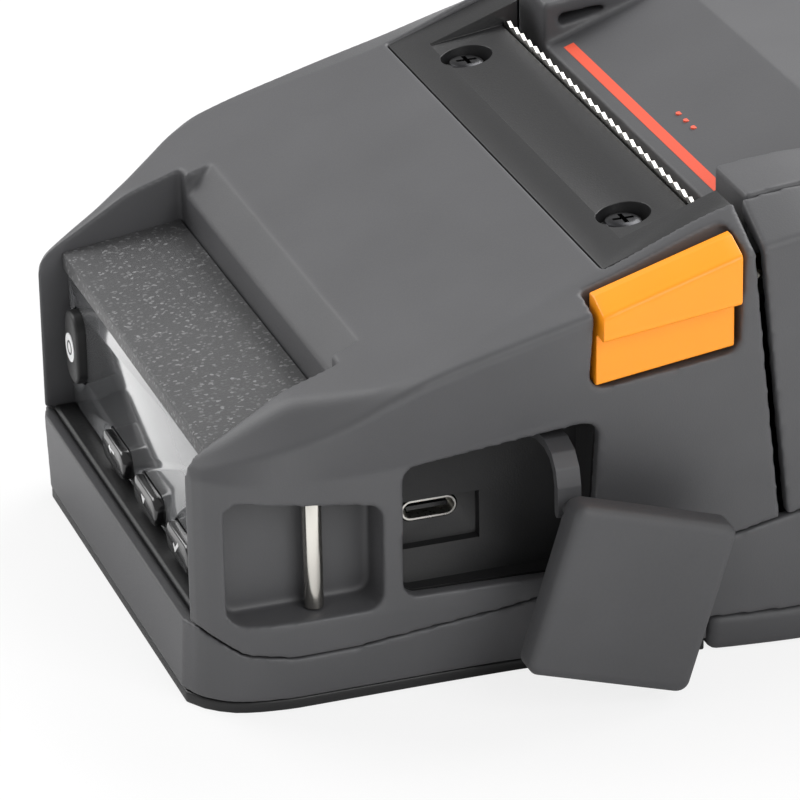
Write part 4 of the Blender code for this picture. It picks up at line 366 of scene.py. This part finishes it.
# black ABS, polished tool: sharp dark reflections along the slot
gloss_plastic = finish("ABS_polished_black", "101011", 0.16, 2.0, 0.004)
# silicone rubber, moulded: soft matt grey
cover_rubber = finish("silicone_moulded_grey", "434345", 0.55, 0.5, 0.008)
seal_rubber = finish("silicone_moulded_black", "161617", 0.5, 0.5, 0.01)
# orange polyacetal, fine grain: bright and slightly waxy
lever_plastic = finish("POM_fine_grain_orange", "ff9a12", 0.38, 0.3, 0.012, mottle=0.03)
# stainless steel, ground and polished along its length
rod_steel = finish("stainless_steel_ground", "d6d3cc", 0.22, 0.6, 0.004, metallic=1.0,
                   brushed=(1, 1, 0.04))
sheet_steel = finish("stainless_steel_rolled", "c9c7c2", 0.3, 0.8, 0.004, metallic=1.0)
screw_steel = finish("steel_black_oxide", "3a3a3c", 0.33, 0.4, 0.01, metallic=1.0)
gold_plate = finish("gold_plated_copper", "d9b25c", 0.25, 0.5, 0.003, metallic=1.0)
brass = finish("brass_turned", "c9a35a", 0.3, 0.5, 0.005, metallic=1.0)
dark_metal = finish("steel_zinc_plated", "8b8d90", 0.35, 1.2, 0.01, metallic=1.0)
white_plastic = finish("POM_moulded_white", "dcdbd5", 0.4, 0.5, 0.01)
board_green = finish("FR4_solder_mask", "1d5a34", 0.35, 1.5, 0.01, mottle=0.2)
red_print = finish("screen_print_red", "e2553a", 0.5, 0.3, 0.004)
white_print = finish("screen_print_white", "e8e8e8", 0.5, 0.3, 0.002)
key_plastic = finish("ABS_polished_black_keys", "141415", 0.18, 1.0, 0.004, coat=0.5)


def dress(thing, material, body, nodes=()):
    """Give a piece its finish, the body that it moves with and the nodes it stands for."""
    thing.data.materials.clear()
    thing.data.materials.append(material)
    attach(thing, body)
    if nodes:
        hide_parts(*nodes)
    return thing


# Case

def build_case():
    """The front and rear housings and the tray, cut from one smooth form."""
    front = keep(body_form("front_case", 0, 0), seam_space(0.15, True), joint_space(-0.65, False))
    inside = body_form("inside", 2.4, -4, 4)
    cut(inside, *both_sides(lambda s: side_prism(s, ((-85, 14.9), (-48.7, 14.9), (-48.7, 39.2),
                                                     (-85, 39.2)), 41.2)))
    cut(inside, block("lever_block", (51.2, -20.8, 49.2), (70, 18, 85)),
        block("brow_block", (-43.7, -54, 41.8), (43.7, -51.6, 77)),
        block("bar_block", (-52.9, -16.8, 61.1), (52.9, 13.6, 85)))
    cut(inside, *both_sides(lambda s: side_prism(s, ((-81, 37.6), (-51.6, 37.6), (-51.6, 77),
                                                     (-81, 77)), 41.3, 43.7)))
    cut(front, inside)
    cut(front, prism("display_cut", "x", ((-85, -4), (-67.6, -4), (-67.6, 41.9), (-54, 43.3),
                                          (-54, 85), (-85, 85)), -41.3, 41.3))
    cut(front, prism("bevel_cut", "x", ((-58, 51), (-54, 51), (-49.2, 56.6), (-49.2, 85),
                                        (-58, 85)), -38, 38))
    cut(front, *both_sides(lambda s: side_prism(s, rounded(STRAP_WINDOW, 2.5), 42.8)))
    cut(front, side_prism(1, rounded(PORT_OPENING, 2.5), 45.5),
        side_prism(1, rounded(LEVER_POCKET, 2.5), 52.8),
        prism("bar_cut", "x", ((-14.7, 63.2), (6.7, 63.2), (6.7, 85), (-14.7, 85)), -50.5, 50.5),
        block("bar_opening", (-50.5, -2.4, 57), (50.5, 17.6, 77)))
    moulded_edges(front, 0.45, 4, 0.3)
    dress(front, case_plastic, "case", ["upper_housing"])

    rear = keep(body_form("rear_case", 0, 0), seam_space(0.15, True), joint_space(0.65, True))
    cut(rear, body_form("rear_inside", 2.4, -4, 4))
    cut(rear, block("lid_opening", (-50.5, 0, 38.5), (50.5, 76.8, 85)),
        block("rear_notch", (-50.5, 73.6, 58.4), (50.5, 90, 85)),
        rod("lid_swing", "x", (73.6, 64.0), -50.5, 50.5, 7.8))
    moulded_edges(rear, 0.45, 4, 0.3)
    dress(rear, case_plastic, "case", ["rear_housing"])

    tray = keep(body_form("tray", 0, 2.3), seam_space(-0.15, False))
    basin = body_form("basin", 2.4, 4.3, 4)
    cut(basin, block("bay", (-45.4, 4.6, -4), (45.4, 85, 21.5)),
        block("sill", (-70, 0, -4), (70, 85, 8.5)))
    cut(tray, basin)
    cut(tray, block("shoe_space", (-70, 2.1, -4), (70, 85, 6.5)),
        block("bay_space", (-43.3, 6.7, -4), (43.3, 85, 19.1)))
    moulded_edges(tray, 0.5, 3, 0.25)
    dress(tray, case_plastic, "case", ["lower_housing"])


def base_line(inset, front, rear, step=2.0):
    """Plan of the underside between two places along the length."""
    count = max(2, round((rear - front) / step))
    places = [front + (rear - front) * i / count for i in range(count + 1)]
    right = [(section_at(max(min(y, 81), -79.5))[7] - inset, y) for y in places]
    return right + [(-x, y) for x, y in reversed(right)]


def build_base():
    """Base plate with screw holes, its feet not drawn, and the battery with its latch."""
    plate = prism("base", "z", base_line(0.8, -79.2, 2.1), 0.0, 2.0)
    for x, y in ((-36, -62), (36, -62), (-36, -10), (36, -10)):
        cut(plate, rod("screw_hole", "z", (x, y), -1, 1.5, 2.9, 24))
    soften(plate, 0.4, 2)
    dress(plate, black_plastic, "case", ["base_plate"])
    pack = prism("battery", "z", base_line(0.0, 2.4, 81.0), 0.0, 6.2)
    soften(pack, 1.6, 4, 50)
    join(pack, block("battery_body", (-43, 7, 3.1), (43, 77, 18.8)),
         block("battery_cap", (-43, 73, 3.1), (43, 78.8, 18.8)))
    cut(pack, block("latch_space", (-10.3, 76.6, 8.7), (12.8, 85, 15.3)))
    smooth_shading(pack)
    dress(pack, cover_rubber, "battery", ["battery_pack"])


# Display end

def build_display():
    brow = prism("brow", "x", rounded(((-74.8, 40.3), (-73.2, 40.3), (-73.2, 40.9),
                                       (-54.3, 43.6), (-54.3, 45.8), (-74.8, 43.0)),
                                      [0.1, 0.1, 0.1, 0.1, 0.1, 0.5]), -41.0, 41.0)
    soften(brow, 0.25, 2)
    dress(brow, brow_plastic, "case", ["brow_plate"])
    seal = prism("lip_seal", "x", rounded(((-77.4, 15.4), (-77.4, 12.6), (-73.0, 12.6),
                                           (-71.0, 13.4), (-71.0, 15.7), (-76.9, 15.7)), 0.5),
                 -41.0, 41.0)
    dress(smooth_shading(seal), seal_rubber, "case", ["front_gasket"])


def button(name, centre, width, height, material, body, node):
    """A key that stands proud of the window with a softly crowned face."""
    x, z = centre
    rings = []
    for depth, grow in ((-72.7, 0.0), (-75.1, 0.0), (-75.45, -0.12), (-75.6, -0.4),
                        (-75.7, -1.2)):
        w, h = width / 2 + grow, height / 2 + grow
        ring = rounded(((x - w, z - h), (x + w, z - h), (x + w, z + h), (x - w, z + h)),
                       min(width, height) / 2 * 0.85, 8)
        rings.append([(u, depth, v) for u, v in ring])
    key = loft(name, rings)
    smooth_shading(key, 60)
    return dress(key, material, body, [node])


def build_keys():
    marks = []
    for name, body, x in (("key_back", "key_left", -12.0), ("key_down", "key_middle", 6.0),
                          ("key_enter", "key_right", 24.0)):
        node = body.split("_")[1] + "_key"
        button(name, (x, 19.2), 12.5, 5.0, key_plastic, body, node)
        if x < 0:
            mark = [(x + 1.5, 19.9), (x + 1.5, 20.3), (x - 0.6, 20.3), (x - 0.6, 20.9),
                    (x - 1.7, 20.1), (x - 0.6, 19.3), (x - 0.6, 19.9)]
        elif x < 10:
            mark = [(x - 1.0, 20.0), (x + 1.0, 20.0), (x, 18.7)]
        else:
            mark = [(x - 1.5, 19.3), (x - 0.5, 18.3), (x + 1.6, 20.3), (x + 1.2, 20.7),
                    (x - 0.5, 19.1), (x - 1.1, 19.7)]
        sign = prism(name + "_mark", "y", mark, -75.74, -75.6)
        dress(sign, white_print, body)
    power = button("power_key", (-35.2, 28.5), 7.0, 12.5, seal_rubber, "power", "power_button")
    face = rod("power_key_face", "y", (-35.2, 28.5), -75.82, -75.5, 2.45)
    dress(smooth_shading(face), white_print, "power")
    ring = rod("power_key_ring", "y", (-35.2, 28.5), -75.88, -75.7, 1.25)
    cut(ring, rod("ring_hole", "y", (-35.2, 28.5), -77, -75, 0.95))
    dress(smooth_shading(ring), case_plastic, "power")


def build_window():
    """The clear pane in front of the display; the frame printed behind it is not drawn."""
    pane = block("pane", (-41.0, -74.0, 16.0), (41.0, -72.4, 40.0))
    for x in (-12.0, 6.0, 24.0):
        cut(pane, prism("key_hole", "y", rounded(((x - 6.5, 16.5), (x + 6.5, 16.5),
                                                  (x + 6.5, 22.0), (x - 6.5, 22.0)), 2.1),
                        -80, -70))
    cut(pane, prism("power_hole", "y", rounded(((-39.0, 22.0), (-31.4, 22.0), (-31.4, 35.0),
                                                (-39.0, 35.0)), 3.0), -80, -70))
    soften(pane, 0.12, 2)
    made = finish("polycarbonate_hard_coated", "6e6f71", 0.08, 3.0, 0.0, coat=1.0)
    dress(pane, made, "case", ["display_window"])


# Corner windows, port side

def build_strap_bars():
    for side, x in (("left", -45.8), ("right", 45.8)):
        bar = rod("strap_rod_" + side, "z", (x, -60.2), 16.8, 35.3, 1.5, 48)
        soften(bar, 0.15, 2)
        dress(bar, rod_steel, "case", ["strap_bar_" + side])


def tilted(points, angle=-17.5, centre=(-16.0, 19.6)):
    turn = math.radians(angle)
    return [(centre[0] + y * math.cos(turn) - z * math.sin(turn),
             centre[1] + y * math.sin(turn) + z * math.cos(turn)) for y, z in points]


def cover_ring(x, grow, radius):
    w, h = 13.75 + grow, 14.25 + grow
    return [(x, y, z) for y, z in tilted(rounded(((-w, -h), (w, -h), (w, h), (-w, h)), radius, 6))]


def build_cover():
    """The rubber port cover, hanging from its strap."""
    cover = loft("port_flap", [cover_ring(x, grow, radius) for x, grow, radius in
                               ((60.5, -1.2, 1.6), (62.4, -1.2, 1.6), (62.75, -0.3, 1.8),
                                (63.0, 0.0, 2.0), (66.4, 0.0, 2.0), (67.1, -0.35, 1.8),
                                (67.5, -0.9, 1.4), (67.7, -1.7, 1.0))])
    join(cover, prism("plug", "x", oblong((-16.0, 19.6), 8.9, 3.2), 58.3, 61.5))
    cut(cover, rod("pin_hole", "x", (-23.6, 33.4), 58, 62.4, 1.5, 24))
    smooth_shading(cover, 50)
    dress(cover, cover_rubber, "cover", ["port_cover"])
    spine = [(46.2, 40.8), (50.0, 41.8), (54.0, 42.0), (56.8, 41.1), (58.4, 39.3), (59.1, 36.8),
             (59.2, 31.8)]
    left, right = [], []
    for index, point in enumerate(spine):
        before = Vector(spine[max(index - 1, 0)])
        along = (Vector(spine[min(index + 1, 6)]) - before).normalized()
        side = Vector((-along.y, along.x)) * 0.75
        left.append(tuple(Vector(point) + side))
        right.append(tuple(Vector(point) - side))
    strap = prism("flap_strap", "y", rounded(left + right[::-1], 1.0, 3), -25.5, -21.7)
    join(strap, rod("strap_pin", "x", (-23.6, 33.4), 59.2, 62.1, 1.2, 24))
    smooth_shading(strap)
    dress(strap, cover_rubber, "case", ["port_cover_strap"])


def build_port():
    """The panel behind the port opening with the pocket round the receptacle."""
    panel = block("port_plate", (42.5, -49.4, 15.6), (59.5, -15.0, 47.7))
    keep(panel, body_form("panel_limit", 2.7, -4, 4))
    cut(panel, prism("recess", "x", rounded(PORT_OPENING, 2.5), 45.5, 70),
        block("bar_side", (0, -78, 0), (59.5, -48.4, 77)),
        block("pocket", (43.7, -46.9, 23.6), (59.5, -33.1, 31.6)),
        prism("usb_hole", "x", oblong((-40.8, 29.2), 9.54, 3.86), 32, 59))
    soften(panel, 0.25, 2)
    dress(panel, black_plastic, "case", ["port_panel"])
    shell = prism("usb_shell", "x", oblong((-40.8, 29.2), 8.94, 3.26), 36.7, 44.0)
    cut(shell, prism("bore", "x", oblong((-40.8, 29.2), 8.34, 2.66), 37.0, 50))
    smooth_shading(shell)
    dress(shell, sheet_steel, "case", ["usb_receptacle"])


# Top

def build_bar():
    bar = prism("screw_bar_top", "x", ((-14.4, 63.5), (6.4, 63.5), (6.4, 74.9), (-14.4, 67.5)),
                -50.2, 50.2)
    cut(bar, prism("floor_cut", "x", ((-9.2, 69.0), (3.6, 70.9), (3.6, 85), (-9.2, 85)),
                   -44, 44),
        block("slot_cut", (-44, 3.6, 0), (44, 12, 85)))
    for x in (-35.9, 35.9):
        cut(bar, rod("counterbore", "z", (x, -5.6), 66.93, 85, 4.3),
            rod("screw_hole", "z", (x, -5.6), 0, 85, 1.6, 24))
    soften(bar, 0.45, 3)
    dress(bar, black_plastic, "case", ["screw_bar"])
    for side, x in (("left", -35.9), ("right", 35.9)):
        head = loft("bar_screw_head_" + side, [
            [(u, v, z) for u, v in arc((x, -5.6), radius)]
            for z, radius in ((67.25, 2.6), (67.6, 2.95), (68.2, 3.0), (68.55, 2.8),
                              (68.8, 2.3), (68.9, 1.7))])
        join(head, rod("shank", "z", (x, -5.6), 61.0, 67.8, 1.3, 24))
        for w, d in ((1.75, 0.38), (0.38, 1.75)):
            cut(head, block("cross", (x - w, -5.6 - d, 67.9), (x + w, -5.6 + d, 72)))
        smooth_shading(head, 30)
        dress(head, screw_steel, "case", ["bar_screw_" + side])


def lever_ring(y):
    share = (y + 19.2) / 24.2
    high = 67.2 + share * 7.2
    lip = 60.0 + share * 2.9
    low = 50.8 + share * 3.2 + 0.9
    points = ((54.5, high - 1.4), (54.5, low), (57.5, low), (57.5, lip + 0.3), (60.8, lip),
              (60.8, high - 3.1), (56.2, high - 1.4))
    return [(x, y, z) for x, z in rounded(points, [0.2, 0.2, 0.5, 0.6, 0.7, 1.0, 1.0], 5)]


def build_lever():
    ys = [-18.3 + 22.4 * i / 10 for i in range(11)]
    lever = loft("lever", [lever_ring(y) for y in ys])
    soften(lever, 0.5, 3, 50)
    dress(lever, lever_plastic, "lever", ["release_lever"])


def top_z(y):
    return section_at(y)[1]


def build_lid():
    ys = [8.8 + (79.0 - 8.8) * i / 40 for i in range(41)]
    outer = [(y, top_z(y)) for y in ys]
    inner = [(y + (2.6 if i == 0 else -2.6 if i == 40 else 0), top_z(y) - 2.6)
             for i, y in enumerate(ys)]
    outline = outer + [(79.0, 59.0), (76.4, 59.0)] + inner[::-1] + [(11.4, 66.0), (8.8, 66.0)]
    lid = prism("lid", "x", outline, -50.2, 50.2)
    join(lid, prism("sunk_floor", "x", ((8.8, 65.7), (8.8, 71.2), (35.6, 77.0), (35.6, 72.0)),
                    -43.5, 43.5))
    cut(lid, prism("sunk_cut", "x", ((4.8, 67.2), (33.0, 77.2), (33.0, 85), (4.8, 85)),
                   -37.5, 37.5))
    for s in (1, -1):
        ends = sorted((s * 33.0, s * 42.0))
        join(lid, prism("knuckle", "x", arc((73.6, 64.0), 3.2, 20, 180, 180)
                        + [(73.6, 69.5), (70.4, 69.5)], *ends))
    cut(lid, rod("pin_bore", "x", (73.6, 64.0), -51.4, 51.4, 1.7, 24))
    moulded_edges(lid, 0.45, 3, 0.3)
    dress(lid, case_plastic, "lid", ["paper_lid"])
    line = prism("lid_line", "x", ((10.9, 69.28), (10.9, 69.42), (12.6, 70.02), (12.6, 69.88)),
                 -34, 34)
    dress(line, red_print, "lid")
    for number, x in enumerate((4.5, 7.7, 10.9), 1):
        dot = rod("lid_dot_%d" % number, "z", (x, 16.2), 70.9, 71.32, 0.62, 24)
        dress(dot, red_print, "lid")


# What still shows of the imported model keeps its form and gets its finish

FINISHES = {
    "base_screw_1": screw_steel, "base_screw_2": screw_steel, "base_screw_3": screw_steel,
    "base_screw_4": screw_steel, "battery_latch": seal_rubber, "battery_contacts": gold_plate,
    "lcd_module": sheet_steel, "usb_tongue": gloss_plastic, "tear_bar": sheet_steel,
    "latch_shaft": rod_steel, "lid_frame": black_plastic, "lid_hinge_pin": rod_steel,
    "platen_roller": seal_rubber, "platen_shaft": rod_steel, "platen_gear": white_plastic,
    "platen_bush_left": brass, "platen_bush_right": brass, "idler_gear": white_plastic,
    "motor_pinion": brass, "stepper_motor": dark_metal, "print_frame": dark_metal,
    "print_head": white_plastic, "head_heat_sink": dark_metal, "head_spring_left": rod_steel,
    "head_spring_right": rod_steel, "roll_cradle": black_plastic,
    "paper_guide_left": gloss_plastic, "paper_guide_right": gloss_plastic,
    "main_board": board_green, "wireless_module": sheet_steel,
}


def dress_nodes():
    for name, material in FINISHES.items():
        node = cad_nodes[name]
        node.data.materials.clear()
        node.data.materials.append(material)


def build_stage():
    """A white floor under soft studio light; build_camera sets up the photograph's camera."""
    floor = bpy.data.meshes.new("studio_floor")
    floor.from_pydata([(-5, -5, 0), (5, -5, 0), (5, 5, 0), (-5, 5, 0)], [], [(0, 1, 2, 3)])
    ground = bpy.data.objects.new("studio_floor", floor)
    bpy.context.scene.collection.objects.link(ground)
    white = bpy.data.materials.new("studio_white")
    white.use_nodes = True
    tree = white.node_tree
    shader = tree.nodes["Principled BSDF"]
    shader.inputs["Base Color"].default_value = linear("f4f4f4")
    shader.inputs["Roughness"].default_value = 0.9
    path = add(tree, "ShaderNodeLightPath")
    glow = add(tree, "ShaderNodeEmission", {"Color": (1, 1, 1, 1), "Strength": 1.0})
    share = add(tree, "ShaderNodeMath", {"operation": "MULTIPLY", 1: 0.82},
                {0: path.outputs["Is Camera Ray"]})
    both = add(tree, "ShaderNodeMixShader", {}, {0: share.outputs[0],
                                                 1: shader.outputs[0], 2: glow.outputs[0]})
    tree.links.new(both.outputs[0], tree.nodes["Material Output"].inputs["Surface"])
    floor.materials.append(white)
    world = bpy.context.scene.world or bpy.data.worlds.new("studio")
    bpy.context.scene.world = world
    world.use_nodes = True
    world.node_tree.nodes["Background"].inputs["Color"].default_value = (1, 1, 1, 1)
    world.node_tree.nodes["Background"].inputs["Strength"].default_value = 0.45
    for name, place, size, power in (("softbox_rear", (-0.5, 0.9, 1.1), (1.2, 0.9), 22),
                                     ("softbox_left", (-0.9, -0.8, 0.9), (0.9, 0.9), 12),
                                     ("softbox_right", (1.3, 0.4, 0.9), (0.9, 0.9), 12)):
        lamp = bpy.data.lights.new(name, "AREA")
        lamp.shape = "RECTANGLE"
        lamp.size, lamp.size_y = size
        lamp.energy = power
        holder = bpy.data.objects.new(name, lamp)
        holder.location = place
        holder.rotation_euler = (-Vector(place)).to_track_quat("-Z", "Y").to_euler()
        bpy.context.scene.collection.objects.link(holder)


def build_camera():
    az, el, roll = (math.radians(a) for a in (71.541, 25.0, -1.1817))
    back = Vector((math.sin(az) * math.cos(el), -math.cos(az) * math.cos(el), math.sin(el)))
    right = Vector((math.cos(az), math.sin(az), 0))
    up = back.cross(right)
    across = right * math.cos(roll) + up * math.sin(roll)
    upward = up * math.cos(roll) - right * math.sin(roll)
    lens = bpy.data.cameras.new("photo_camera")
    lens.sensor_fit = "HORIZONTAL"
    lens.sensor_width = 36
    lens.lens = 36 * 5259.4 / 800
    lens.clip_start = 0.05
    eye = bpy.data.objects.new("photo_camera", lens)
    turn = Matrix((across, upward, back)).transposed().to_4x4()
    eye.matrix_world = Matrix.Translation((0.73069, -0.274285, 0.38579)) @ turn
    bpy.context.scene.collection.objects.link(eye)
    bpy.context.scene.camera = eye


build_case()
build_base()
build_display()
build_window()
build_keys()
build_strap_bars()
build_cover()
build_port()
build_bar()
build_lever()
build_lid()
dress_nodes()
build_stage()
build_camera()
bpy.context.scene.view_settings.view_transform = "Standard"
